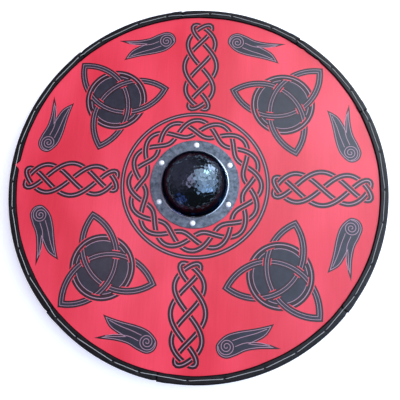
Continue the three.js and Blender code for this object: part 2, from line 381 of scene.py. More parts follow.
@dataclass(frozen=True)
class OiledAsh:
    """Oiled ash for the grip bar: open straight grain along its length, darker where the hand holds it."""

    pale: str = "#B98A56"
    dark: str = "#8A5E35"
    handled: str = "#7A5130"
    roughness: float = 0.5

    def build(self) -> bpy.types.Material:
        """Growth rings stretched along Y, with pores and a handled patch in the middle."""
        material, tree, surface, where = start_material("oiled ash")
        dark = linear(self.dark)
        along = add(tree, "Mapping", {"Scale": (1, 0.05, 1)}, {"Vector": where})
        rings = add(tree, "TexWave", {"wave_type": "RINGS", "rings_direction": "Y", "Scale": per_mm(70),
                                      "Distortion": 5.0, "Detail": 3.0, "Detail Scale": 1.2},
                    {"Vector": along}).outputs["Fac"]
        pores = add(tree, "TexNoise", {"Scale": per_mm(0.8), "Detail": 3.0, "Roughness": 0.7},
                    {"Vector": along})
        share = add(tree, "MapRange", {"From Min": 0.25, "From Max": 0.85}, {"Value": rings})
        tone = add(tree, "Mix", RGBA, {0: share, 6: linear(self.pale), 7: dark}).outputs[2]
        share = add(tree, "MapRange", {"From Min": 0.5, "From Max": 0.75, "To Max": 0.6}, {"Value": pores})
        tone = add(tree, "Mix", RGBA, {0: share, 6: tone, 7: dark}).outputs[2]
        place = add(tree, "SeparateXYZ", links={0: where}).outputs[1]
        middle = add(tree, "Math", {"operation": "ABSOLUTE"}, {0: place})
        share = add(tree, "MapRange", {"From Min": 0.02, "From Max": 0.07, "To Min": 0.55, "To Max": 0.0},
                    {"Value": middle})
        tone = add(tree, "Mix", RGBA, {0: share, 6: tone, 7: linear(self.handled)}).outputs[2]
        rough = add(tree, "MapRange", {"To Min": self.roughness - 0.08, "To Max": self.roughness + 0.12},
                    {"Value": pores})
        relief = add(tree, "Bump", {"Distance": 0.12 * MM}, {"Height": pores})
        feed(surface, {"Base Color": tone, "Roughness": rough, "Normal": relief})
        return material


@dataclass(frozen=True)
class BlackenedSteel:
    """Hand raised sheet steel, blackened and lacquered: the dome is glossy, and darkened round its foot as
    painted shade. The flange, which was filed and left satin, is a paler blue grey, painted as a reflection
    of the sky on the same steel, and the corner between them is a pale band painted as its highlight."""

    dome: str = "#4A555E"
    dome_foot_shade: str = "#30363D"
    grazing: str = "#98A0AA"
    # painted reflection: the flange's paler blue grey stands for the sky that its flat steel reflects
    flange: str = "#747E87"
    flange_dark: str = "#475058"
    # painted highlight: the pale steel of the band round the dome's foot
    worn: str = "#939BA4"
    edge_mm: float = 55.4
    shade_foot_mm: tuple[float, float] = (34.0, 47.0)
    highlight_from_mm: tuple[float, float] = (53.0, 53.4)
    highlight_to_mm: tuple[float, float] = (55.1, 55.6)
    smooth: float = 0.15

    def build(self) -> bpy.types.Material:
        """One steel with two finishes, split by the distance from the boss's axis."""
        material, tree, surface, where = start_material("blackened and lacquered steel")
        apart = add(tree, "SeparateXYZ", links={0: where})
        flat = add(tree, "CombineXYZ", links={0: apart.outputs[0], 1: apart.outputs[1]})
        radius = add(tree, "VectorMath", {"operation": "LENGTH"}, {0: flat}).outputs["Value"]
        # foot marks where the dome is darkened as painted shade; started and ended bound the pale band
        # painted as the corner's highlight
        reach = {"brushed": (self.edge_mm - 0.4, self.edge_mm + 0.4), "foot": self.shade_foot_mm,
                 "started": self.highlight_from_mm, "ended": self.highlight_to_mm}
        past = {name: add(tree, "MapRange", {"From Min": low * MM, "From Max": high * MM},
                          {"Value": radius}) for name, (low, high) in reach.items()}
        mottle = add(tree, "TexNoise", {"Scale": per_mm(8), "Detail": 6.0, "Roughness": 0.72},
                     {"Vector": where})
        share = add(tree, "MapRange", {"From Min": 0.35, "From Max": 0.65}, {"Value": mottle})
        # the flange's paler tone is painted reflection of the sky, mottled at random
        flange = add(tree, "Mix", RGBA, {0: share, 6: linear(self.flange), 7: linear(self.flange_dark)})
        # painted shade: the dome's colour darkens towards its foot
        dome = add(tree, "Mix", RGBA, {0: past["foot"], 6: linear(self.dome), 7: linear(self.dome_foot_shade)})
        colour = add(tree, "Mix", RGBA, {0: past["brushed"], 6: dome.outputs[2], 7: flange.outputs[2]})
        # painted highlight: a pale band round the corner between dome and flange
        worn = add(tree, "Math", {"operation": "SUBTRACT"}, {0: past["started"], 1: past["ended"]})
        colour = add(tree, "Mix", RGBA, {0: worn, 6: colour.outputs[2], 7: linear(self.worn)}).outputs[2]
        ripple = add(tree, "TexNoise", {"Scale": per_mm(6), "Detail": 3.0}, {"Vector": where})
        polished = add(tree, "MapRange", {"From Min": 0.3, "From Max": 0.7, "To Min": 0.1, "To Max": 0.18},
                       {"Value": ripple})
        smooth = add(tree, "Mix", {"data_type": "FLOAT"}, {0: past["foot"], 2: polished, 3: self.smooth})
        satin = add(tree, "MapRange", {"From Min": 0.3, "From Max": 0.7, "To Min": 0.45, "To Max": 0.6},
                    {"Value": mottle})
        rough = add(tree, "Mix", {"data_type": "FLOAT"}, {0: past["brushed"], 2: smooth, 3: satin})
        tint = add(tree, "Mix", RGBA, {0: past["brushed"], 6: linear(self.grazing), 7: linear("#FFFFFF")})
        scratches = add(tree, "TexNoise", {"Scale": per_mm(0.7), "Detail": 2.0}, {"Vector": where})
        relief = add(tree, "Bump", {"Distance": 0.015 * MM}, {"Height": scratches})
        feed(surface, {"Base Color": colour, "Roughness": rough, "Metallic": 1.0,
                       "Specular Tint": tint.outputs[2], "Normal": relief})
        return material


@dataclass(frozen=True)
class BrightSteel:
    """Bright domed rivet steel, tumbled: pale, with fine hammer scuffs."""

    bright: str = "#FFFFFF"
    scuffed: str = "#EDEEF0"
    metallic: float = 0.4

    def build(self) -> bpy.types.Material:
        """Polished steel with fine scuffs."""
        material, tree, surface, where = start_material("bright rivet steel")
        scuffs = add(tree, "TexNoise", {"Scale": per_mm(1.2), "Detail": 4.0, "Roughness": 0.6},
                     {"Vector": where})
        share = add(tree, "MapRange", {"From Min": 0.45, "From Max": 0.7}, {"Value": scuffs})
        colour = add(tree, "Mix", RGBA, {0: share, 6: linear(self.bright), 7: linear(self.scuffed)})
        rough = add(tree, "MapRange", {"From Min": 0.3, "From Max": 0.7, "To Min": 0.42, "To Max": 0.6},
                    {"Value": scuffs})
        relief = add(tree, "Bump", {"Distance": 0.02 * MM}, {"Height": scuffs})
        feed(surface, {"Base Color": colour.outputs[2], "Metallic": self.metallic, "Roughness": rough,
                       "Normal": relief})
        return material


@dataclass(frozen=True)
class BlackLeather:
    """Vegetable tanned strap leather dyed black and waxed: fine pebble grain, and a matt black coat on its
    cut edges and ends that also serves as painted shade at the laps and along the inner edge."""

    black: str = "#090606"
    worn: str = "#1B1718"
    grain_mm: float = 1.1
    roughness: float = 0.4
    gloss: float = 0.25
    shade_coat_gloss: float = 0.02

    def build(self) -> bpy.types.Material:
        """Pebbled grain with creases, and wear in broad patches."""
        material, tree, surface, where = start_material("black waxed strap leather")
        pebbles = {"feature": "F1", "Scale": per_mm(self.grain_mm), "Randomness": 1.0}
        cells = add(tree, "TexVoronoi", pebbles, {"Vector": where}).outputs["Distance"]
        creases = add(tree, "TexNoise", {"Scale": per_mm(5), "Detail": 5.0, "Roughness": 0.65},
                      {"Vector": where})
        rubbed = add(tree, "TexNoise", {"Scale": per_mm(30), "Detail": 4.0, "Roughness": 0.6},
                     {"Vector": where})
        wear = add(tree, "MapRange", {"From Min": 0.45, "From Max": 0.7, "To Max": 0.8}, {"Value": rubbed})
        colour = add(tree, "Mix", RGBA, {0: wear, 6: linear(self.black), 7: linear(self.worn)}).outputs[2]
        rough = add(tree, "MapRange", {"From Min": 0.3, "From Max": 0.7, "To Min": self.roughness - 0.08,
                                       "To Max": self.roughness + 0.15}, {"Value": creases})
        # painted shade: the gloss drops where this edge coat and shade mask is high, darkening the laps and
        # the inner edge
        shaded_coat = add(tree, "Attribute", {"attribute_name": "edge_coat_and_shade"}).outputs["Fac"]
        gloss = add(tree, "MapRange", {"To Min": self.gloss, "To Max": self.shade_coat_gloss}, {"Value": shaded_coat})
        fine = add(tree, "Bump", {"Distance": 0.06 * MM}, {"Height": cells})
        relief = add(tree, "Bump", {"Distance": 0.4 * MM}, {"Height": creases, "Normal": fine})
        feed(surface, {"Base Color": colour, "Roughness": rough, "Specular IOR Level": gloss,
                       "Normal": relief})
        return material


@dataclass(frozen=True)
class WaxedThread:
    """Waxed linen thread, undyed grey: two plies twisted, slightly shiny with wax."""

    pale: str = "#B0B0AB"
    dark: str = "#8E8E89"
    roughness: float = 0.55

    def build(self) -> bpy.types.Material:
        """Fibres that vary at random between pale and darker grey."""
        material, tree, surface, where = start_material("waxed linen thread")
        fibre = add(tree, "TexNoise", {"Scale": per_mm(0.5), "Detail": 3.0, "Roughness": 0.6},
                    {"Vector": where})
        hollow = add(tree, "MapRange", {"From Min": 0.35, "From Max": 0.65}, {"Value": fibre})
        colour = add(tree, "Mix", RGBA, {0: hollow, 6: linear(self.pale), 7: linear(self.dark)}).outputs[2]
        relief = add(tree, "Bump", {"Distance": 0.05 * MM}, {"Height": fibre})
        feed(surface, {"Base Color": colour, "Roughness": self.roughness, "Normal": relief})
        return material


@dataclass(frozen=True)
class PaleFloor:
    """Matt white studio paper, lit a little from behind."""

    white: str = "#F7F7F7"
    shade: str = "#F4F4F5"
    roughness: float = 0.9
    backlight: float = 0.3

    def build(self) -> bpy.types.Material:
        """Plain matt white."""
        material, tree, surface, where = start_material("matt white studio paper")
        tooth = add(tree, "TexNoise", {"Scale": per_mm(2.0), "Detail": 3.0}, {"Vector": where})
        paper = add(tree, "Mix", RGBA, {0: tooth, 6: linear(self.white), 7: linear(self.shade)}).outputs[2]
        feed(surface, {"Base Color": paper, "Roughness": self.roughness,
                       "Emission Color": linear(self.white), "Emission Strength": self.backlight})
        return material


class Paint(IntEnum):
    """The colours on the face, each over the ones before it."""

    RED = 0
    BLACK = 1
    SLATE = 2
    LINE = 3
    HOLE = 4


Polygon = tuple[Array, Paint]


@dataclass
class Strand:
    """A band of the knotwork: its centreline, whether it closes, and its width in millimetres."""

    points: Array
    closed: bool = True
    width: float = 8.0

    def edges(self) -> tuple[Array, Array]:
        """The mitred offset lines on the left and the right of the centreline."""
        away = mitres(self.points, self.closed) * self.width / 2
        return self.points + away, self.points - away

    def stretch(self, position: float, low: float, high: float) -> Array:
        """A part of the centreline of a closed band.

        Args:
            position: A point number, with its share of the way to the next one.
            low: The distance from there to where the part starts.
            high: The distance from there to where it ends.

        Returns:
            The points of that part.
        """
        p = self.points
        run = np.concatenate([[0], np.cumsum(np.hypot(*np.diff(np.vstack([p, p[:1]]), axis=0).T))])
        k, total = int(position), run[-1]
        at = run[k] + (position - k) * (run[k + 1] - run[k])
        run = np.concatenate([run[:-1] - total, run[:-1], run[:-1] + total, [2 * total]])
        loop = np.vstack([p, p, p, p[:1]])
        inside = run[(run > at + low + 0.3) & (run < at + high - 0.3)]
        stops = np.concatenate([[at + low], inside, [at + high]])
        return np.column_stack([np.interp(stops, run, loop[:, k]) for k in (0, 1)])

    def bridge(self, position: float, angle: float, under: float, half: float) -> Array:
        """The part of this band, or of a wider or narrower one on its line, that lies on a lower band.

        Its ends are cut along the lower band's edges. At a distance y to the left of the line, they lie at
        y / tan(angle) along it, less or plus the lower band's half width over sin(angle).

        Args:
            position: Where the bands cross.
            angle: The angle from this band's direction to the lower band's, between 0 and pi.
            under: The lower band's width.
            half: Half the width of the part.

        Returns:
            Its outline.
        """
        sides = []
        for y in (half, -half):
            reach, shift = under / 2 / math.sin(angle), y / math.tan(angle)
            line = self.stretch(position, shift - reach, shift + reach)
            sides.append(line + mitres(line, False) * y)
        return np.vstack([sides[0], sides[1][::-1]])


def mitres(points: Array, closed: bool) -> Array:
    """The leftward offset of each point of a line for a unit of band width, longer at its corners.

    Args:
        points: The line.
        closed: Whether it closes.

    Returns:
        One offset for each point.
    """
    if closed:
        before, after = np.roll(points, 1, 0), np.roll(points, -1, 0)
    else:
        before = np.vstack([2 * points[0] - points[1], points[:-1]])
        after = np.vstack([points[1:], 2 * points[-1] - points[-2]])
    left = []
    for run in (points - before, after - points):
        run = run / np.maximum(np.hypot(*run.T), 1e-9)[:, None]
        left.append(np.column_stack([-run[:, 1], run[:, 0]]))
    middle = left[0] + left[1]
    middle /= np.maximum(np.hypot(*middle.T), 1e-9)[:, None]
    return middle / np.maximum((middle * left[0]).sum(1), 0.2)[:, None]


def resample(points: Array, closed: bool, step: float) -> Array:
    """Even spacing along a line that keeps its sharp corners.

    Args:
        points: The line.
        closed: Whether it closes.
        step: The spacing.

    Returns:
        The new points.
    """
    p = np.vstack([points, points[:1]]) if closed else points
    keep = np.hypot(*np.diff(p, axis=0).T) > 1e-9
    p = np.vstack([p[:1], p[1:][keep]])
    d = np.diff(p, axis=0)
    heading = np.arctan2(d[:, 1], d[:, 0])
    turn = np.abs((np.diff(heading) + np.pi) % TAU - np.pi)
    run = np.concatenate([[0], np.cumsum(np.hypot(*d.T))])
    stops = np.unique(np.concatenate([[0.0], run[np.flatnonzero(turn > SHARP_TURN) + 1], [run[-1]]]))
    parts = [np.linspace(a, b, max(2, round((b - a) / step)), endpoint=False)
             for a, b in zip(stops, stops[1:])]
    along = np.concatenate(parts + ([] if closed else [[run[-1]]]))
    return np.column_stack([np.interp(along, run, p[:, k]) for k in (0, 1)])


def band(points: Array, closed: bool, width: float, piece: int = 8) -> list[Array]:
    """Polygons that together cover a band along a line.

    Args:
        points: The centreline.
        closed: Whether it closes.
        width: The band's width.
        piece: Steps of the line in each polygon.

    Returns:
        The polygons.
    """
    left, right = Strand(points, closed, width).edges()
    if closed:
        left, right = np.vstack([left, left[:1]]), np.vstack([right, right[:1]])
    stops = list(range(0, len(left) - 1, piece)) + [len(left) - 1]
    return [np.vstack([left[i:j + 1], right[i:j + 1][::-1]]) for i, j in zip(stops, stops[1:])]


def turned(points: Array, degrees: float) -> Array:
    """Points turned anticlockwise about the origin."""
    c, s = math.cos(math.radians(degrees)), math.sin(math.radians(degrees))
    return points @ np.array([[c, s], [-s, c]])


def seated(points: Array, radius: float, degrees: float) -> Array:
    """Points drawn about the origin, moved out along +X by a radius and turned with it."""
    return turned(points + np.array([radius, 0.0]), degrees)


def inset(outline: Array, depth: float) -> Array:
    """An outline drawn in by a depth."""
    x, y = outline.T
    area = np.sum(x * np.roll(y, -1) - np.roll(x, -1) * y)
    return outline + mitres(outline, True) * depth * (1 if area > 0 else -1)


def led_from_inside(outline: Array, depths: tuple[float, ...] = (0.5, 1.0, 2.0, 4.0, 8.0)) -> Array:
    """An anticlockwise outline whose last edge has the main part of its inside on its left.

    The triangulation fills a shape from the left of its last edge, and a small loop at a tip lies the other
    way round. Points beside both ends of each edge and at several depths left of its middle are tested by
    counting the edges that a ray from each crosses. The edge with the most points inside is put last.

    Args:
        outline: The outline.
        depths: How far the tested points stand off their edge.

    Returns:
        The same points, or no points where no edge has the inside on its left.
    """
    x, y = outline.T
    if np.sum(x * np.roll(y, -1) - np.roll(x, -1) * y) < 0:
        outline = outline[::-1]
    after = np.roll(outline, -1, 0)
    run = after - outline
    left = np.column_stack([-run[:, 1], run[:, 0]]) / np.maximum(np.hypot(*run.T), 1e-9)[:, None]
    (x0, y0), (x1, y1) = outline.T, after.T
    rise = np.where(np.abs(y1 - y0) < 1e-12, 1e-12, y1 - y0)
    score = np.zeros(len(outline))
    within = np.ones(len(outline), dtype=bool)
    for share, depth in ((0.04, 0.02), (0.96, 0.02), (0.5, 0.02), *((0.5, depth) for depth in depths)):
        px, py = (outline + run * share + left * depth).T
        spans = (y0[None, :] > py[:, None]) != (y1[None, :] > py[:, None])
        meets = x0[None, :] + (py[:, None] - y0[None, :]) / rise[None, :] * (x1 - x0)[None, :]
        within &= (spans & (px[:, None] < meets)).sum(1) % 2 == 1
        score += within * (share == 0.5)
    if not score.any():
        return outline[:0]
    return np.roll(outline, -int(np.argmax(score)) - 1, axis=0)


def circle(radius: float, count: int = 90) -> Array:
    """A circle about the origin."""
    return polar(radius, np.arange(count) * TAU / count)


def spiral(inner: float, outer: float, turns: float, start: float = 0.0) -> Array:
    """A spiral whose radius grows evenly with its angle."""
    t = np.linspace(0, 1, 64)
    return polar(inner + (outer - inner) * t, start + TAU * turns * t)


def plait(mean: float, swing: float, waves: int, strands: int) -> Array:
    """A ring plait: the radius swings as a cosine with a whole number of waves over several turns."""
    t = np.arange(260 * strands) * TAU / 260
    return polar(mean + swing * np.cos(waves * t / strands), t)


def panel(length: float, breadth: float, along: int, across: int) -> Array:
    """A closed basket weave along X, tapered to both ends: x and y swing as cosines at two whole rates."""
    t = (np.arange(480) + 0.5) * TAU / 480
    u = np.cos(along * t + TAU / 4 / across)
    return np.column_stack([length / 2 * u, breadth / 2 * np.cos(across * t) * (1 - 0.45 * u ** 2)])


def cubic(a: Array, b: Array, c: Array, d: Array, t: Array) -> Array:
    """The smooth line from b to c at shares t, with the slopes of their neighbours a and d."""
    return 0.5 * (2 * b + (c - a) * t + (2 * a - 5 * b + 4 * c - d) * t ** 2
                  + (3 * b - a - 3 * c + d) * t ** 3)


def splined(control: list[tuple[float, float]], closed: bool = True) -> Array:
    """A smooth line through control points: a cubic between each two, with the slope of their neighbours. A
    point given twice is a sharp corner.

    Args:
        control: The points.
        closed: Whether the line closes.

    Returns:
        The line's points.
    """
    p = np.array(control, float)
    t = np.linspace(0, 1, 8, endpoint=False)[:, None]
    rows = []
    for i in range(len(p) if closed else len(p) - 1):
        j = (i + 1) % len(p)
        b, c = p[i], p[j]
        if np.allclose(b, c):
            continue
        a = p[i - 1] if closed or i else b
        d = p[(i + 2) % len(p)] if closed or i + 2 < len(p) else c
        a = 2 * b - c if np.allclose(a, b) else a
        d = 2 * c - b if np.allclose(c, d) else d
        rows.append(cubic(a, b, c, d, t))
    return np.vstack(rows if closed else rows + [p[-1:]])


def trefoil(reach: float, bulge: float = 0.58) -> Array:
    """Three arcs that meet in three points at a reach, each passing on the far side of the middle.

    Args:
        reach: Distance of the points from the middle.
        bulge: How far an arc stands off its chord, in chords.

    Returns:
        The closed line.
    """
    arcs = []
    for k in range(3):
        first, last = (reach * polar(1.0, TAU * (k + j) / 3) for j in (0, 1))
        middle, chord = (first + last) / 2, float(np.hypot(*(last - first)))
        sag = bulge * chord
        radius = (chord ** 2 / 4 + sag ** 2) / (2 * sag)
        inward = -middle / np.hypot(*middle)
        center = middle + inward * (sag - radius)
        start = math.atan2(*(first - center)[::-1])
        half = math.asin(min(1.0, chord / 2 / radius))
        sweep = TAU - 2 * half if sag > radius else 2 * half
        top = math.atan2(*inward[::-1])
        side = 1 if math.sin(top - start) > 0 else -1
        angle = start + side * sweep * np.linspace(0, 1, 50)[:-1]
        arcs.append(center + polar(radius, angle))
    return np.vstack(arcs)


@dataclass
class Knotwork:
    """A quartered interlace: a plait in a ring round the boss, a ringed trefoil in each quarter, a pointed
    braid on each axis, and forked spiral leaves between them. A band is black with one pale line, or where
    it is wide with a slate heart between two."""

    step: float = 3.5
    line_width: float = 1.4
    wide: float = 10.5
    rim: float = 2.8
    fine_line: float = 0.8
    casing: float = 1.3
    overlap: float = 0.5
    leaf_rim: float = 2.0
    leaf_line: float = 1.0
    band_width: float = 8.5
    ring_width: float = 7.0
    ring_radius: float = 117.0
    plait_radius: float = 93.0
    plait_swing: float = 14.0
    corner_radius: float = 196.0
    disc_radius: float = 44.0
    loop_radius: float = 48.0
    trefoil_reach: float = 84.0
    trefoil_bulge: float = 0.42
    trefoil_width: float = 11.0
    braid_radius: float = 202.0
    braid_length: float = 152.0
    braid_breadth: float = 54.0
    leaf_radius: float = 254.0
    leaf_angle: float = 0.24
    leaf_scale: float = 0.84
    polygons: list[Polygon] = field(default_factory=list)

    def strand(self, points: Array, width: float) -> Strand:
        """A closed band with even points."""
        return Strand(resample(points, True, self.step), True, width)

    def leafy(self, outline: Array) -> None:
        """Paint a shape with a black rim, a pale line inside it and a slate heart."""
        self.polygons.append((outline, Paint.BLACK))
        self.polygons.append((inset(outline, self.leaf_rim), Paint.LINE))
        self.polygons.append((inset(outline, self.leaf_rim + self.leaf_line), Paint.SLATE))

    def trace(self, points: Array, width: float = 1.1) -> None:
        """Paint a thin pale line."""
        self.polygons += [(p, Paint.LINE) for p in band(resample(points, False, 2.0), False, width)]

    def crossings(self, strands: list[Strand]) -> list[tuple[int, float, int, float, float]]:
        """Every place where two bands cross.

        Args:
            strands: The bands.

        Returns:
            For each crossing each band's number and position, and the angle from the first to the second.
        """
        rows = []
        for k, s in enumerate(strands):
            after = np.roll(s.points, -1, 0)
            count = len(s.points)
            numbers = (np.full(count, k), np.arange(count), np.full(count, count))
            rows.append(np.column_stack([s.points, after, *numbers]))
        table = np.vstack(rows)
        start, run = table[:, 0:2], table[:, 2:4] - table[:, 0:2]
        found = []
        for i in range(len(table)):
            d, w, r = run[i + 1:], start[i + 1:] - start[i], run[i]
            den = r[0] * d[:, 1] - r[1] * d[:, 0]
            den = np.where(np.abs(den) < 1e-9, np.inf, den)
            t = (w[:, 0] * d[:, 1] - w[:, 1] * d[:, 0]) / den
            u = (w[:, 0] * r[1] - w[:, 1] * r[0]) / den
            hit = (t >= 0) & (t < 1) & (u >= 0) & (u < 1) & np.isfinite(den)
            for j in np.flatnonzero(hit) + i + 1:
                one, other = table[i], table[j]
                gap = abs(one[5] - other[5])
                if one[4] == other[4] and min(gap, one[6] - gap) <= 1:
                    continue
                (ax, ay), (bx, by) = run[i], run[j]
                angle = math.atan2(ax * by - ay * bx, ax * bx + ay * by) % math.pi
                place = (int(one[4]), one[5] + t[j - i - 1], int(other[4]), other[5] + u[j - i - 1])
                found.append((*place, angle))
        return found

    def alternate(self, found: list[tuple[int, float, int, float, float]]) -> list[bool]:
        """Choose over and under so that they alternate along every band.

        Args:
            found: The crossings.

        Returns:
            For each crossing, whether its first band passes over.
        """
        visits: dict[int, list[tuple[float, int, int]]] = {}
        for c, (one, at_one, other, at_other, _) in enumerate(found):
            visits.setdefault(one, []).append((at_one, c, 0))
            visits.setdefault(other, []).append((at_other, c, 1))
        links: dict[int, list[tuple[int, int]]] = {c: [] for c in range(len(found))}
        for stops in visits.values():
            stops.sort()
            for (_, c, side), (_, d, far) in zip(stops, stops[1:] + stops[:1]):
                links[c].append((d, 1 ^ side ^ far))
                links[d].append((c, 1 ^ side ^ far))
        state = [-1] * len(found)
        for first in range(len(found)):
            if state[first] < 0:
                state[first] = 0
                waiting = [first]
                while waiting:
                    c = waiting.pop()
                    for d, flip in links[c]:
                        if state[d] < 0:
                            state[d] = state[c] ^ flip
                            waiting.append(d)
        return [value == 0 for value in state]

    def weave(self, strands: list[Strand]) -> None:
        """Paint closed bands that pass over and under each other.

        Where an upper band crosses a lower one, the red ground shows beside it as a narrow gap.

        Args:
            strands: The bands of one knot.
        """
        def layers(width: float) -> list[tuple[Paint, float]]:
            if width < self.wide:
                return [(Paint.BLACK, width), (Paint.LINE, self.line_width)]
            heart = width - 2 * self.rim
            return [(Paint.BLACK, width), (Paint.LINE, heart), (Paint.SLATE, heart - 2 * self.fine_line)]

        found = self.crossings(strands)
        for s in strands:
            for paint, width in layers(s.width):
                self.polygons += [(p, paint) for p in band(s.points, True, width)]
        for (one, at_one, other, at_other, angle), first in zip(found, self.alternate(found)):
            upper, at, lower = (one, at_one, other) if first else (other, at_other, one)
            turn = angle if first else math.pi - angle
            over, under = strands[upper], strands[lower]
            gap = over.bridge(at, turn, under.width + self.overlap, over.width / 2 + self.casing)
            self.polygons.append((gap, Paint.RED))
            for paint, width in layers(over.width):
                extra = self.overlap + 2 * self.casing + (0.0 if paint is Paint.BLACK else over.width)
                self.polygons.append((over.bridge(at, turn, under.width + extra, width / 2), paint))

    def draw(self) -> list[Polygon]:
        """Lay out the whole pattern, in the order of painting.

        Returns:
            The polygons, each over the ones before it.
        """
        ring = circle(self.ring_radius, 150)
        braided = plait(self.plait_radius, self.plait_swing, waves=16, strands=3)
        knot = trefoil(self.trefoil_reach, self.trefoil_bulge)
        braid = panel(self.braid_length, self.braid_breadth, along=2, across=5)
        self.weave([self.strand(ring, self.ring_width)])
        self.weave([self.strand(braided, self.band_width)])
        for quarter in range(4):
            corner, axis = 45 + 90 * quarter, 90 * quarter
            self.leafy(seated(circle(self.disc_radius), self.corner_radius, corner))
            self.weave([self.strand(seated(knot, self.corner_radius, corner), self.trefoil_width),
                        self.strand(seated(circle(self.loop_radius), self.corner_radius, corner),
                                    self.band_width)])
            self.weave([self.strand(seated(braid, self.braid_radius, axis), self.band_width)])
            for side in (1, -1):
                self.scroll(axis, side)
        return self.polygons

    def scroll(self, degrees: float, side: int) -> None:
        """Paint a forked spiral leaf that follows the shield's edge, beside an axis.

        Its outline is drawn with x along the edge and y outward, and bent round the axis: x becomes an
        angle and y a radius.

        Args:
            degrees: The axis that it stands beside.
            side: 1 or -1, the side of the axis that it stands on.
        """
        def lay(points: Array) -> Array:
            x, y = (points * self.leaf_scale).T
            turn = side * (self.leaf_angle + x / self.leaf_radius)
            return polar(self.leaf_radius + y, math.radians(degrees) + turn)

        outline = splined([
            (-8, -15), (-19, -4), (-17, 11), (-5, 20), (12, 19), (32, 16), (56, 21), (86, 35), (86, 35),
            (70, 18), (50, 7), (50, 7), (74, 4), (96, -8), (96, -8), (64, -15), (32, -21), (8, -21)])
        self.leafy(lay(outline))
        self.trace(lay(spiral(1.5, 15, 2.5, 0.2)))
        self.trace(lay(splined([(15, 3), (34, 2), (56, 9), (72, 21)], closed=False)), 1.0)
        self.trace(lay(splined([(13, -8), (34, -9), (60, -7), (80, -6)], closed=False)), 1.0)


@dataclass
class Stitches:
    """Where the awl holes of the hand paced saddle stitch stand, shared by board, leather and thread."""

    count: int = 32
    circle: float = 298.0
    wander_degrees: float = 1.5

    def angles(self) -> Array:
        """Each hole's angle: even places moved by two slow waves of different pace."""
        i = np.arange(self.count)
        off = self.wander_degrees * (np.sin(2.9 * i + 0.2) + 0.6 * np.sin(1.3 * i + 0.1))
        return TAU * i / self.count + np.radians(off)

    def places(self) -> Array:
        """Each hole's x, y."""
        return polar(self.circle, self.angles())


@dataclass
class Rivets:
    """Six domed rivets through the boss's flange; two of them also hold the grip bar."""

    count: int = 6
    circle: float = 63.5
    head_radius: float = 4.6
    head_height: float = 2.6
    head_base: float = 31.22
    shank_radius: float = 2.2
    tail_radius: float = 3.8
    tail_height: float = 1.5
    head_power: float = 0.85
    tail_power: float = 0.8
    back_tail: float = 20.28
    bored_tail: float = 4.98
    segments: int = 40

    def places(self) -> Array:
        """Each rivet's x, y, from the top clockwise."""
        return polar(self.circle, TAU / 4 - TAU * np.arange(self.count) / self.count)

    def build(self, steel: bpy.types.Material) -> None:
        """Turn each rivet: a quarter ellipse tail, a shank and a quarter ellipse head with a filed rim.

        Args:
            steel: The rivets' finish.
        """
        for i, place in enumerate(self.places()):
            tail = self.bored_tail if abs(place[0]) < self.head_radius else self.back_tail
            turn = np.radians(np.linspace(90, 0, 14))
            low = np.column_stack([self.tail_radius * np.cos(turn),
                                   tail - self.tail_height * np.sin(turn) ** self.tail_power])
            turn = turn[::-1]
            high = np.column_stack([self.head_radius * np.cos(turn) ** self.head_power,
                                    self.head_base + self.head_height * np.sin(turn)])
            shank = np.array([[self.shank_radius, tail], [self.shank_radius, self.head_base]])
            profile = np.vstack([low, shank, high])
            profile[0, 0] = profile[-1, 0] = 0.0
            piece = turned_solid(f"rivet_head_{i + 1}", profile, place, self.segments)
            dress(piece, "bright_steel", (f"rivet_{i + 1}",), steel)


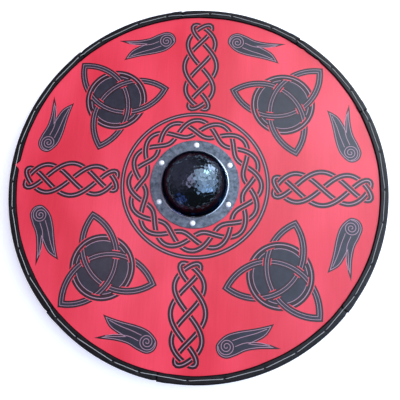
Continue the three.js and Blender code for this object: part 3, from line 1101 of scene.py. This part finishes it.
@dataclass
class Board:
    """The flat plywood disc, painted on its face, with a hand hole, rivet holes and awl holes."""

    radius: float = 302.4
    back: float = 20.3
    face: float = 29.3
    hand_hole: float = 49.0
    rivet_hole: float = 2.6
    awl_hole: float = 1.0
    rivets: Rivets = field(default_factory=Rivets)
    stitches: Stitches = field(default_factory=Stitches)

    def holes(self) -> list[Array]:
        """The outlines of every hole."""
        rounds = [circle(self.hand_hole, 144)]
        rounds += [circle(self.rivet_hole, 24) + place for place in self.rivets.places()]
        rounds += [circle(self.awl_hole, 12) + place for place in self.stitches.places()]
        return rounds

    def sheet(self, polygons: list[Polygon]) -> tuple[Array, list[list[int]], Array]:
        """Cut the disc into triangles along every edge of the paint.

        A constrained triangulation holds all outlines at once, and each triangle takes the last painted
        polygon that covers it. Triangles in a hole are dropped.

        Args:
            polygons: The pattern, in the order of painting.

        Returns:
            The points, the triangles and each triangle's paint.
        """
        layers = [(circle(self.radius, 384), Paint.RED), *polygons]
        layers += [(outline, Paint.HOLE) for outline in self.holes()]
        layers = [(led_from_inside(outline), kind) for outline, kind in layers]
        layers = [(outline, kind) for outline, kind in layers if len(outline)]
        corners: list[Vector] = []
        loops: list[list[int]] = []
        for outline, _ in layers:
            loops.append(list(range(len(corners), len(corners) + len(outline))))
            corners += [Vector(p) for p in outline]
        points, _, triangles, _, _, owners = delaunay_2d_cdt(corners, [], loops, 1, 1e-4, True)
        paints = np.array([layers[max(owner)][1] for owner in owners])
        keep = paints != Paint.HOLE
        return np.array(points), [list(t) for t, k in zip(triangles, keep) if k], paints[keep]

    def build(self, paint: bpy.types.Material, bare: bpy.types.Material) -> None:
        """Make the painted face, the bare back and the walls of the rim and the holes.

        Args:
            paint: The face's finish.
            bare: The back's and the edges' finish.
        """
        front, front_faces, paints = self.sheet(Knotwork().draw())
        rear, rear_faces, _ = self.sheet([])
        points = [np.column_stack([front, np.full(len(front), self.face)]),
                  np.column_stack([rear, np.full(len(rear), self.back)])]
        base = len(front)
        faces = list(front_faces) + [[base + i for i in face[::-1]] for face in rear_faces]
        base += len(rear)
        for outline in [circle(self.radius, 384), *self.holes()]:
            count = len(outline)
            points += [np.column_stack([outline, np.full(count, z)]) for z in (self.back, self.face)]
            faces += (grid_faces(2, count, wrap_columns=True) + base).tolist()
            base += 2 * count
        piece = make_object("painted_board", np.vstack(points), faces, smooth=False)
        mesh = piece.data
        numbers = np.ones(len(mesh.polygons), dtype=np.int32)
        numbers[:len(front_faces)] = 0
        mesh.polygons.foreach_set("material_index", numbers)
        owner = np.zeros(len(mesh.polygons), dtype=np.int64)
        owner[:len(front_faces)] = paints
        sides = np.empty(len(mesh.polygons), dtype=np.int32)
        mesh.polygons.foreach_get("loop_total", sides)
        table = np.array([[0, 0, 0, 1], [1, 0, 0, 1], [0, 1, 0, 1], [0, 0, 1, 1]], float)
        colours = table[np.repeat(owner, sides)]
        attribute = mesh.color_attributes.new("paint", "FLOAT_COLOR", "CORNER")
        attribute.data.foreach_set("color", colours.ravel())
        places = np.empty(len(mesh.vertices) * 3)
        mesh.vertices.foreach_get("co", places)
        corner = np.empty(len(mesh.loops), dtype=np.int32)
        mesh.loops.foreach_get("vertex_index", corner)
        plan = places.reshape(-1, 3)[corner, :2] / (2.1 * self.radius * MM) + 0.5
        mesh.uv_layers.new(name="OFBake").data.foreach_set("uv", plan.ravel())
        self.join(piece)
        dress(piece, "painted_wood", ("board",), paint, bare)

    def join(self, piece: bpy.types.Object) -> None:
        """Merge the walls to the face and the back, keeping the paint.

        Args:
            piece: The board.
        """
        work = bmesh.new()
        work.from_mesh(piece.data)
        bmesh.ops.remove_doubles(work, verts=work.verts, dist=0.0005 * MM)
        bmesh.ops.recalc_face_normals(work, faces=work.faces)
        work.to_mesh(piece.data)
        work.free()
        piece.data.update()


@dataclass
class Boss:
    """The steel boss: a hand raised dome with a flange, one sheet, hammered all over the dome."""

    base: float = 29.34
    sheet: float = 1.86
    flange_radius: float = 72.0
    dome_radius: float = 52.5
    dome_height: float = 50.26
    foot_radius: float = 3.0
    rim_rounding: float = 0.5
    dents: int = 520
    dent_sphere: float = 26.0
    dent_depth: float = 0.41
    dent_uneven: float = 0.03
    dent_shake: float = 0.018
    dent_reach: float = 1.02
    ridge_softness: float = 0.01
    filing: float = 0.14
    around: int = 400
    seed: int = 11

    @property
    def springing(self) -> float:
        """The height at which the foot's curve ends and the dome begins."""
        return self.sheet + self.foot_radius

    def outer_profile(self) -> Array:
        """Radius and height from the flange's rim over the foot's curve to the dome's top."""
        rise = self.dome_height - self.springing
        rim = np.radians(np.linspace(0, 90, 4))
        corner = self.flange_radius - self.rim_rounding
        edge = np.column_stack([corner + self.rim_rounding * np.cos(rim),
                                self.sheet - self.rim_rounding * (1 - np.sin(rim))])
        foot_middle = self.dome_radius + self.foot_radius
        flat = np.column_stack([np.linspace(corner, foot_middle, 16)[1:-1], np.full(14, self.sheet)])
        foot = np.radians(np.linspace(270, 180, 9))
        foot = np.column_stack([foot_middle + self.foot_radius * np.cos(foot),
                                self.springing + self.foot_radius * np.sin(foot)])
        dome = np.radians(np.linspace(0, 90, 126))[1:]
        dome = np.column_stack([self.dome_radius * np.cos(dome), self.springing + rise * np.sin(dome)])
        return np.vstack([edge, flat, foot, dome])

    def inner_profile(self) -> Array:
        """Radius and height from the dome's inside top down and out to the flange's underside rim."""
        rise = self.dome_height - self.springing
        dome = np.radians(np.linspace(90, 0, 50))
        dome = np.column_stack([(self.dome_radius - self.sheet) * np.cos(dome),
                                self.springing + (rise - self.sheet) * np.sin(dome)])
        foot_middle = self.dome_radius + self.foot_radius
        foot = np.radians(np.linspace(180, 270, 8))[1:]
        reach = self.foot_radius + self.sheet
        foot = np.column_stack([foot_middle + reach * np.cos(foot), self.springing * (1 + np.sin(foot))])
        rim = np.array([[self.flange_radius - 0.3, 0.0], [self.flange_radius, 0.3]])
        return np.vstack([dome, foot, rim])

    def hammer_marks(self, points: Array) -> Array:
        """How deep each point lies in the hammer marks.

        Marks stand on a golden angle spiral over the dome, shaken by a seeded draw. Each is a shallow dish:
        its depth at a distance is its middle's depth - distance^2 / (2 * dent_sphere). A point lies as deep
        as the deepest dish there, by a softened maximum, and ridges stay where dishes meet.

        Args:
            points: x, y, z rows on the dome.

        Returns:
            Depths in millimetres, with 0 on the ridges.
        """
        draw = np.random.default_rng(self.seed)
        i = np.arange(self.dents) + 0.5
        height = 1 - i / self.dents * self.dent_reach
        angle = i * GOLDEN_ANGLE
        spread_out = np.sqrt(np.clip(1 - height ** 2, 0, 1))
        marks = np.column_stack([spread_out * np.cos(angle), spread_out * np.sin(angle), height])
        marks += draw.normal(0, self.dent_shake, marks.shape)
        marks /= np.linalg.norm(marks, axis=1)[:, None]
        lift = draw.uniform(-self.dent_uneven, self.dent_uneven, self.dents)
        rise = self.dome_height - self.springing
        unit = points * [1 / self.dome_radius, 1 / self.dome_radius, 1 / rise]
        unit[:, 2] -= self.springing / rise
        unit /= np.maximum(np.linalg.norm(unit, axis=1), 1e-9)[:, None]
        depth = np.empty(len(points))
        for low in range(0, len(points), 8000):
            near = 1 - unit[low:low + 8000] @ marks.T
            square = 2 * near * self.dome_radius ** 2
            dish = self.dent_depth + lift[None, :] - square / (2 * self.dent_sphere)
            soft = self.ridge_softness
            top = dish.max(1)
            depth[low:low + 8000] = top + soft * np.log(np.exp((dish - top[:, None]) / soft).sum(1))
        return depth

    def build(self, steel: bpy.types.Material) -> None:
        """Turn both faces of the sheet, hammer the dome and close the rim.

        Args:
            steel: The boss's finish.
        """
        outer, inner = self.outer_profile(), self.inner_profile()
        profile = np.vstack([inner, outer])
        angle = np.arange(self.around) * TAU / self.around
        ring = polar(profile[:, :1], angle[None, :])
        grid = np.concatenate([ring, np.broadcast_to(profile[:, 1:2], ring.shape[:2])[..., None]], axis=-1)
        points = grid.reshape(-1, 3)
        radius = np.hypot(points[:, 0], points[:, 1])
        high = ease((points[:, 2] - self.springing * 0.75) / 4.0)
        depth = self.hammer_marks(points.copy()) * high
        out = points * [1, 1, (self.dome_radius / self.dome_height) ** 2]
        out /= np.maximum(np.linalg.norm(out, axis=1), 1e-9)[:, None]
        points = points - out * depth[:, None]
        bearing = np.arctan2(points[:, 1], points[:, 0])
        wave = self.filing * wander(bearing, 4.2, (2, 5, 9)) * ease((radius - 60) / 12)
        sway = np.where(radius > 55, wave, 0.0)
        points[:, :2] *= (1 - np.abs(sway) / self.flange_radius)[:, None]
        points[:, 2] += self.base
        faces = grid_faces(len(profile), self.around, wrap_columns=True)
        piece = make_object("hammered_boss", points, faces)
        tidy_mesh(piece)
        dress(piece, "black_steel", ("boss",), steel)


@dataclass
class GripBar:
    """The ash grip across the back: waisted at the hand, widest at the rivets, tapered to its ends."""

    outline: tuple[tuple[float, float], ...] = (
        (0, 16), (30, 16.5), (64, 21), (120, 19.5), (190, 15), (205, 12), (210, 5))
    thickness: float = 20.25
    rounding: float = 4.0
    bore_radius: float = 7.0
    bore_depth: float = 5.0
    hole_radius: float = 2.6
    rivets: Rivets = field(default_factory=Rivets)

    def half_width(self, along: Array) -> Array:
        """Half the bar's width at distances from its middle, on a smooth curve through the outline."""
        p = np.array(self.outline, float)
        p = np.vstack([p[:1], p, p[-1:]])
        rows = []
        for i in range(1, len(p) - 2):
            t = np.linspace(0, 1, 24, endpoint=i == len(p) - 3)[:, None]
            a, b, c, d = p[i - 1:i + 3]
            rows.append(cubic(a, b, c, d, t))
        curve = np.vstack(rows)
        return np.interp(np.abs(along), curve[:, 0], curve[:, 1])

    def build(self, ash: bpy.types.Material) -> None:
        """Carry a rounded rectangle along Y, then bore it for its two rivets.

        At each station the section is a rectangle of the local width with rounded corners. Over the last
        few millimetres it is drawn in by a quarter circle, so that the ends are rounded like the edges.

        Args:
            ash: The bar's finish.
        """
        end, r = self.outline[-1][0], self.rounding
        inside = np.concatenate([np.linspace(0, end - 20, 76), np.linspace(end - 20, end - r, 17)[1:]])
        cap = end - r + r * np.sin(np.radians(np.linspace(0, 90, 9)))[1:]
        half = np.concatenate([inside, cap])
        along = np.concatenate([-half[:0:-1], half])
        draw_in = r - np.sqrt(np.maximum(r * r - np.clip(np.abs(along) - (end - r), 0, r) ** 2, 0))
        wide = self.half_width(along) - draw_in
        tall = self.thickness / 2 - draw_in
        corner = np.minimum(np.maximum(r - draw_in, 0.05), np.minimum(wide, tall) * 0.98)
        turn = np.radians(np.concatenate([np.linspace(a, a + 90, 8) for a in (0, 90, 180, 270)]))
        quarter = np.repeat(np.arange(4), 8)
        sx = np.array([1, -1, -1, 1])[quarter]
        sz = np.array([1, 1, -1, -1])[quarter]
        x = sx * (wide - corner)[:, None] + corner[:, None] * np.cos(turn)
        z = sz * (tall - corner)[:, None] + corner[:, None] * np.sin(turn) + self.thickness / 2
        y = np.broadcast_to(along[:, None], x.shape)
        points = np.stack([x, y, z], axis=-1).reshape(-1, 3)
        piece = make_object("grip", points, tube_faces(len(along), len(turn)))
        tidy_mesh(piece)
        for place in self.rivets.places():
            if abs(place[0]) < self.bore_radius:
                self.bore(piece, place)
        piece.data.set_sharp_from_angle(angle=math.radians(40))
        dress(piece, "bare_wood", ("grip_bar",), ash)

    def bore(self, piece: bpy.types.Object, place: Array) -> None:
        """Cut the counterbore and the rivet's hole at a place.

        Args:
            piece: The bar.
            place: The rivet's x, y.
        """
        profile = np.array([[0, -2], [self.bore_radius, -2], [self.bore_radius, self.bore_depth],
                            [self.hole_radius, self.bore_depth], [self.hole_radius, self.thickness + 2],
                            [0, self.thickness + 2]], float)
        cutter = turned_solid("bore_cutter", profile, place, 40)
        cut = piece.modifiers.new("bore", "BOOLEAN")
        cut.object, cut.operation, cut.solver = cutter, "DIFFERENCE", "EXACT"
        view = bpy.context.evaluated_depsgraph_get()
        cut_mesh = bpy.data.meshes.new_from_object(piece.evaluated_get(view))
        piece.modifiers.clear()
        piece.data = cut_mesh
        bpy.data.objects.remove(cutter)


@dataclass
class Leather:
    """The leather edging: eight strips folded over the board's edge, each one's start lying over the end of
    the strip before it, save at one open butt joint."""

    joints: tuple[float, ...] = (26, 57, 97, 133, 176, 224, 262, 322)
    butt: float = 176
    opening: float = 0.3
    radius: float = 305.0
    front: float = 29.6
    back: float = 20.0
    thickness: float = 2.0
    edge: float = 291.0
    bend_inside: float = 1.0
    lap: float = 14.0
    ramp: float = 7.0
    under: float = 0.9
    over: float = 2.5
    gap: float = 0.3
    clearance: float = 1.0
    step: float = 1.5
    corner: float = 3.0
    butt_corner: float = 8.0
    corner_power: float = 1.4
    skive: float = 1.8
    skived: float = 0.25
    cut_wander: float = 0.45
    nicks: tuple[float, ...] = (48.0, 54.0)
    nick_depth: float = 1.3
    nick_width: float = 3.5
    crease_depth: float = 0.10
    crease_middle: float = 297.0
    shade_coat_strength: float = 1.6
    pucker_depth: float = 1.15
    pucker_along: float = 2.8
    pucker_across: float = 2.0
    groove_depth: float = 0.16
    groove_width: float = 1.1
    leg_height: float = 5.0
    stitches: Stitches = field(default_factory=Stitches)

    def offsets(self, start: float, end: float, angle: Array) -> tuple[Array, Array]:
        """How far a strip's inner and outer faces stand off the board along its length.

        Args:
            start: The strip's first joint, in degrees.
            end: Its last joint.
            angle: Stations in radians.

        Returns:
            The inner and the outer offsets.
        """
        inner = np.zeros_like(angle)
        outer = np.full_like(angle, self.thickness)
        if start % 360 != self.butt:
            along = (angle - math.radians(start)) * self.radius
            share = 1 - np.clip((along - self.lap) / self.ramp, 0, 1)
            inner = inner + (self.under + self.gap) * share
            outer = outer + (self.over - self.thickness) * share
        if end % 360 != self.butt:
            along = (math.radians(end) - angle) * self.radius
            share = 1 - np.clip((along - self.clearance) / (self.ramp - self.clearance), 0, 1)
            outer = outer + (self.under - self.thickness) * share
        return inner, outer

    def span(self, start: float, end: float) -> tuple[float, float]:
        """The strip's first and last angle in radians, laps and the butt's opening included."""
        half = self.opening / 2 / self.radius
        first = math.radians(start) + (half if start % 360 == self.butt else 0)
        lapped = (self.lap - self.clearance) / self.radius
        last = math.radians(end) + (-half if end % 360 == self.butt else lapped)
        return first, last

    def top(self, angle: Array) -> Array:
        """The height of the leather's outer face above the board's face at each angle, laps included."""
        angle = np.asarray(angle, float) % TAU
        best = np.zeros_like(angle)
        for start, end in self.strips():
            first, last = self.span(start, end)
            for turn in (0.0, TAU):
                here = (angle + turn >= first) & (angle + turn <= last)
                _, outer = self.offsets(start, end, angle + turn)
                best = np.where(here, np.maximum(best, outer), best)
        return best

    def strips(self) -> list[tuple[float, float]]:
        """Each strip's first and last joint, in degrees."""
        return list(zip(self.joints, [*self.joints[1:], self.joints[0] + 360]))

    def section(self, inner: Array, outer: Array, leg: Array) -> tuple[Array, Array, Array]:
        """The strip's folded section at each station.

        The outer face runs from the back leg's end, round two quarter bends, to the front leg's end. The
        inner face runs back beside it at the inner offset, point for point. Over the last `skive` of a leg
        the outer face comes down to `skived` of the thickness, as a pared edge does.

        Args:
            inner: Each station's inner offset.
            outer: Each station's outer offset.
            leg: The radius at which each station's legs end.

        Returns:
            Radii and heights by station and section point, and how far each point is round a bend, 0 to 1.
        """
        bend = self.radius - self.thickness - self.bend_inside
        turn = np.radians(np.linspace(-90, 90, 18))
        lower, upper = turn[:9], turn[9:]
        flat = np.array([[0, 0.03, 0.07, 0.13, 0.24, 0.42, 0.62, 0.81]])
        rows_r, rows_z, bends = [], [], []
        for offset in (outer, inner):
            reach = (offset + self.bend_inside)[:, None]
            leg_r = leg[:, None] + (bend - leg[:, None]) * flat
            short = np.clip(1 - (leg_r - leg[:, None]) / self.skive, 0, 1)
            kept = self.skived + (1 - self.skived) * np.sqrt(1 - short ** 2)
            stand = inner[:, None] + (offset - inner)[:, None] * kept
            back_z, front_z = self.back - stand, self.front + stand
            wall = np.linspace(0, 1, 7)[None, 1:-1]
            low_z = self.back + self.bend_inside
            high_z = self.front - self.bend_inside
            wall_r = np.broadcast_to(bend + reach, (len(offset), wall.shape[1]))
            wall_z = np.broadcast_to(low_z + (high_z - low_z) * wall, wall_r.shape)
            r = np.hstack([leg_r, bend + reach * np.cos(lower), wall_r, bend + reach * np.cos(upper),
                           leg_r[:, ::-1]])
            z = np.hstack([back_z, low_z + reach * np.sin(lower), wall_z, high_z + reach * np.sin(upper),
                           front_z[:, ::-1]])
            rows_r.append(r)
            rows_z.append(z)
            legs, arc, mid = np.zeros(8), np.sin(np.linspace(0, np.pi, 9)), np.zeros(5)
            bends.append(np.concatenate([legs, arc, mid, arc, legs]))
        r = np.hstack([rows_r[0], rows_r[1][:, ::-1]])
        z = np.hstack([rows_z[0], rows_z[1][:, ::-1]])
        return r, z, np.concatenate([bends[0], 0 * bends[1]])

    def build(self, hide: bpy.types.Material) -> None:
        """Make each strip: a hand cut edge, eased ends, puckers at the awl holes, creases at the bends.

        Args:
            hide: The leather's finish.
        """
        for i, (start, end) in enumerate(self.strips()):
            first, last = self.span(start, end)
            count = int(round((last - first) * self.radius / self.step)) + 1
            angle = np.linspace(first, last, count)
            ends = np.radians([0.02, 0.06, 0.12, 0.2])
            angle = np.unique(np.concatenate([angle, first + ends, last - ends]))
            inner, outer = self.offsets(start, end, angle)
            leg = self.edge + self.cut_wander * wander(angle, 1.3 * i + 1, (5, 11, 23, 41))
            for joint, near in ((start, angle - first), (end, last - angle)):
                corner = self.butt_corner if joint % 360 == self.butt else self.corner
                leg = leg + corner * np.clip(1 - near * self.radius / corner, 0, 1) ** self.corner_power
            if i == 0:
                for nick in self.nicks:
                    off = (angle - math.radians(nick)) * self.radius / self.nick_width
                    leg = leg + self.nick_depth * np.exp(-off ** 2)
            r, z, bends = self.section(inner, outer, leg)
            r, z = self.pucker(r, z, angle, len(bends) // 2)
            crease = np.abs(np.sin(angle * 190 + 3 * wander(angle, i + 3.0))) ** 6
            uneven = 0.5 + 0.5 * wander(angle, i + 7.0, (9, 17, 31))
            crease = (self.crease_depth * crease * uneven)[:, None] * bends
            out, up = r - self.crease_middle, z - (self.front + self.back) / 2
            away = np.hypot(out, up)
            r, z = r - crease * out / away, z - crease * up / away
            flat = polar(r, angle[:, None])
            points = np.concatenate([flat, z[..., None]], axis=-1).reshape(-1, 3)
            columns = r.shape[1]
            faces = grid_faces(len(angle), columns, wrap_columns=True).tolist()
            half = columns // 2
            for row, flip in ((0, False), (len(angle) - 1, True)):
                base = row * columns
                for k in range(half - 1):
                    quad = [base + k, base + k + 1, base + columns - 2 - k, base + columns - 1 - k]
                    faces.append(quad[::-1] if flip else quad)
            piece = make_object(f"leather_strip_{i + 1}", points, faces)
            # painted shade, with the edge coat: a mask that is high near the legs' cut edge and the strip's
            # ends, where the leather is darkened for the shadow at the laps and along the inner edge
            ends = np.minimum(angle - first, np.abs(math.radians(end) - angle))[:, None] * self.radius
            coat = np.maximum(1 - (r - leg[:, None]) / self.skive, 1 - ends / self.skive)
            shaded_coat = piece.data.attributes.new("edge_coat_and_shade", "FLOAT", "POINT")
            shaded_coat.data.foreach_set("value", np.clip(coat * self.shade_coat_strength, 0, 1).ravel())
            tidy_mesh(piece)
            piece.data.set_sharp_from_angle(angle=math.radians(50))
            dress(piece, "black_leather", (f"edging_strip_{i + 1}",), hide)

    def pucker(self, r: Array, z: Array, angle: Array, outer_count: int) -> tuple[Array, Array]:
        """Press the outer face in round every awl hole and a little under the thread.

        Args:
            r: Radii by station and section point.
            z: Heights.
            angle: Stations.
            outer_count: How many section points lie on the outer face.

        Returns:
            The pressed radii and heights.
        """
        holes = self.stitches.angles()
        gaps = (angle[:, None] - holes[None, :] + np.pi) % TAU - np.pi
        along = np.abs(gaps).min(1)[:, None] * self.radius
        across = r - self.stitches.circle
        at_hole = np.exp(-(along / self.pucker_along) ** 2 - (across / self.pucker_across) ** 2)
        under_thread = np.exp(-(across / self.groove_width) ** 2)
        depth = self.pucker_depth * at_hole + self.groove_depth * under_thread
        depth[:, outer_count:] = 0
        up = z - (self.front + self.back) / 2
        return r, z - np.where(np.abs(up) > self.leg_height, np.sign(up) * depth, 0.0)


@dataclass
class Thread:
    """The saddle stitching: one stitch from hole to hole on each face, two plies twisted together."""

    radius: float = 0.52
    twist_pitch: float = 2.6
    step: float = 0.75
    sides: int = 10
    dip: float = 2.4
    dip_reach: float = 2.0
    hole_inset: float = 0.6
    groove: float = 0.24
    lay: float = 0.72
    leather: Leather = field(default_factory=Leather)

    def stitch(self, first: float, last: float, side: int) -> tuple[Array, Array]:
        """One stitch as a tube whose section is two round plies that turn along it.

        The line comes up out of one hole, lies on the leather and goes down the next. Round the line the
        tube's radius is R * (1 - groove + groove * |cos(turn - twist)|), which leaves a groove on each side
        between the plies.

        Args:
            first: The first hole's angle in radians.
            last: The next hole's angle.
            side: 1 for the front, -1 for the back.

        Returns:
            The tube's points and faces.
        """
        a, b = polar(self.leather.stitches.circle, first), polar(self.leather.stitches.circle, last)
        length = float(np.hypot(*(b - a)))
        run = (b - a) / length
        flat = np.linspace(0, length - 2 * self.hole_inset, int(length / self.step))
        plan = a + run * (flat + self.hole_inset)[:, None]
        angle = np.arctan2(plan[:, 1], plan[:, 0])
        top = self.leather.top(angle)
        kernel = np.hanning(9) / np.hanning(9).sum()
        top = np.convolve(np.pad(top, 4, mode="edge"), kernel, mode="valid")
        base = self.leather.front if side > 0 else self.leather.back
        near = np.minimum(flat, flat[-1] - flat)
        lift = top + self.radius * self.lay - self.dip * np.exp(-(near / self.dip_reach) ** 2)
        height = base + side * lift
        ends_in = np.array([7.0, 4.0, 2.5, 1.4])
        low = np.column_stack([np.repeat(plan[:1], 4, 0), height[0] - side * ends_in])
        high = np.column_stack([np.repeat(plan[-1:], 4, 0), height[-1] - side * ends_in[::-1]])
        line = np.vstack([low, np.column_stack([plan, height]), high])
        tangent = np.gradient(line, axis=0)
        tangent /= np.linalg.norm(tangent, axis=1)[:, None]
        across = np.array([-run[1], run[0], 0.0])
        up = np.cross(tangent, across)
        travelled = np.concatenate([[0], np.cumsum(np.linalg.norm(np.diff(line, axis=0), axis=1))])
        turn = np.arange(self.sides) * TAU / self.sides
        twist = TAU / 2 * travelled / self.twist_pitch
        ply = np.abs(np.cos(turn[None, :] - twist[:, None]))
        swell = self.radius * (1 - self.groove + self.groove * ply)[..., None]
        ring = across * swell * np.cos(turn)[:, None] + up[:, None, :] * swell * np.sin(turn)[:, None]
        points = (line[:, None, :] + ring).reshape(-1, 3)
        return points, tube_faces(len(line), self.sides)

    def build(self, linen: bpy.types.Material) -> None:
        """Lay every stitch on both faces.

        Args:
            linen: The thread's finish.
        """
        holes = self.leather.stitches.angles()
        points, faces, base = [], [], 0
        for i, first in enumerate(holes):
            last = holes[(i + 1) % len(holes)] + (TAU if i == len(holes) - 1 else 0)
            for side in (1, -1):
                new_points, new_faces = self.stitch(first, last, side)
                points.append(new_points)
                faces += [[base + v for v in face] for face in new_faces]
                base += len(new_points)
        piece = make_object("saddle_stitching", np.vstack(points), faces)
        tidy_mesh(piece, 0.0005)
        dress(piece, "grey_thread", ("edging_stitching",), linen)


@dataclass
class Lamp:
    """A soft panel light: where it stands in metres, its size, its power in watts and its colour."""

    name: str
    place: tuple[float, float, float]
    size: tuple[float, float]
    power: float
    colour: str = "#FFFFFF"
    aim: tuple[float, float, float] = (0.0, 0.0, 0.03)

    def build(self) -> None:
        """Hang the panel and turn it to its aim."""
        data = bpy.data.lights.new(self.name, "AREA")
        data.shape, data.size, data.size_y = "RECTANGLE", *self.size
        data.energy = self.power
        data.color = linear(self.colour)[:3]
        lamp = bpy.data.objects.new(self.name, data)
        lamp.location = self.place
        lamp.rotation_euler = (Vector(self.aim) - Vector(self.place)).to_track_quat("-Z", "Y").to_euler()
        bpy.context.scene.collection.objects.link(lamp)


@dataclass
class Window:
    """A big window to the right of the shield: four rows of panes, uneven in brightness, with dark bars."""

    azimuth: float = 13.0
    elevation: float = 48.0
    distance: float = 3.0
    half: float = 2.35
    bar: float = 0.1
    power: float = 232.0
    colours: tuple[str, ...] = ("#E6F2FF", "#E2EEFF", "#D6E6FF", "#C6DEFF")
    shares: tuple[tuple[float, ...], ...] = (
        (0.8, 1.0, 1.1, 0.9), (1.0, 1.3, 1.5, 0.8), (0.7, 1.1, 0.8, 1.2), (0.9, 1.2, 1.4, 0.7))

    def build(self) -> None:
        """Hang a panel light for each pane, on a plane square to the line from the shield."""
        a, e = math.radians(self.azimuth), math.radians(self.elevation)
        out = Vector((math.cos(a) * math.cos(e), math.sin(a) * math.cos(e), math.sin(e)))
        along = Vector((-math.sin(a), math.cos(a), 0.0))
        up = out.cross(along)
        count = len(self.shares)
        pitch = 2 * self.half / count
        total = sum(sum(row) for row in self.shares)
        for i, (row, colour) in enumerate(zip(self.shares, self.colours)):
            for j, share in enumerate(row):
                v, u = self.half - pitch * (i + 0.5), self.half - pitch * (j + 0.5)
                place = out * self.distance + along * v + up * u
                pane = Lamp(f"pane {i + 1}.{j + 1}", tuple(place), (pitch - self.bar,) * 2,
                            self.power * share / total, colour, tuple(place - out))
                pane.build()


@dataclass
class Studio:
    """Pale floor, soft light and the camera of the reference view."""

    camera_place: tuple[float, float, float] = (0.0416, -0.12044, 0.63853)
    camera_turn: tuple[float, float, float] = (8.818, 2.967, 2.772)
    focal_px: float = 387.2
    image_px: float = 400.0
    sensor: float = 36.0
    ambient: float = 0.07
    wall_direction: tuple[float, float, float] = (-0.587, 0.492, 0.643)
    wall_glow: float = 0.5
    wall_colour: str = "#EAD6FA"
    dim_colour: str = "#F4F7FF"
    clutter_scale: float = 7.0
    clutter_range: tuple[float, float] = (0.3, 1.6)
    floor_half: float = 4.0
    window: Window = field(default_factory=Window)
    lamps: tuple[Lamp, ...] = (
        Lamp("bright pane", (0.95, 0.72, 0.98), (0.22, 0.26), 2.6, "#DFFFF6"),
        Lamp("blue pane", (1.25, -0.62, 0.9), (0.34, 0.22), 1.4, "#8CC8FF"),
        Lamp("low window", (1.9, 1.9, 0.6), (1.2, 0.8), 24, "#E8EAFF"),
        Lamp("ceiling", (-0.55, 0.15, 3.0), (1.5, 1.0), 12, "#E6D2EA"),
        Lamp("far window", (-1.15, -1.6, 0.72), (0.9, 1.0), 3.6, "#6480E0"),
        Lamp("far pane", (-1.05, -1.65, 0.5), (0.16, 0.2), 0.8, "#C4D4FF"),
    )

    def build(self) -> None:
        """Set the world, the floor, the lamps and the camera."""
        world = bpy.data.worlds.new("soft room")
        world.use_nodes = True
        tree = world.node_tree
        along = add(tree, "TexCoord").outputs["Generated"]
        facing = add(tree, "VectorMath", {"operation": "DOT_PRODUCT", 1: self.wall_direction}, {0: along})
        fall = {"interpolation_type": "SMOOTHSTEP", "From Min": 0.35, "From Max": 1.0}
        near = add(tree, "MapRange", fall, {"Value": facing.outputs["Value"]}).outputs[0]
        dim = tuple(self.ambient * c for c in linear(self.dim_colour))
        wall = tuple(self.wall_glow * c for c in linear(self.wall_colour))
        pattern = {"Scale": self.clutter_scale, "Detail": 3.0}
        clutter = add(tree, "TexNoise", pattern, {"Vector": along}).outputs[0]
        low, high = self.clutter_range
        share = add(tree, "MapRange", {"From Min": 0.35, "From Max": 0.65, "To Min": low, "To Max": high},
                    {"Value": clutter})
        uneven = add(tree, "Math", {"operation": "MULTIPLY"}, {0: near, 1: share})
        glow = add(tree, "Mix", RGBA, {0: uneven, 6: dim, 7: wall}).outputs[2]
        feed(tree.nodes["Background"], {"Color": glow})
        scene = bpy.context.scene
        scene.world = world
        scene.view_settings.view_transform = "Standard"
        h = self.floor_half / MM
        corners = np.array([[-h, -h, 0], [h, -h, 0], [h, h, 0], [-h, h, 0]])
        floor = make_object("floor", corners, [[0, 1, 2, 3]])
        floor.data.materials.append(PaleFloor().build())
        self.window.build()
        for lamp in self.lamps:
            lamp.build()
        data = bpy.data.cameras.new("reference view")
        data.sensor_width = data.sensor_height = self.sensor
        data.lens = self.focal_px / self.image_px * self.sensor
        data.dof.use_dof = False
        data.clip_start = 0.01
        camera = bpy.data.objects.new("reference view", data)
        pitch, yaw, roll = (math.radians(a) for a in self.camera_turn)
        turn = Matrix.Rotation(yaw, 4, "Y") @ Matrix.Rotation(pitch, 4, "X") @ Matrix.Rotation(roll, 4, "Z")
        camera.matrix_world = Matrix.Translation(self.camera_place) @ turn
        scene.collection.objects.link(camera)
        scene.camera = camera


def main() -> None:
    """Build every piece over its solid, then the room."""
    Studio().build()
    Board().build(PaintedBirch().build(), BareBirch().build())
    Boss().build(BlackenedSteel().build())
    Rivets().build(BrightSteel().build())
    GripBar().build(OiledAsh().build())
    Leather().build(BlackLeather().build())
    Thread().build(WaxedThread().build())


if __name__ == "__main__":
    main()
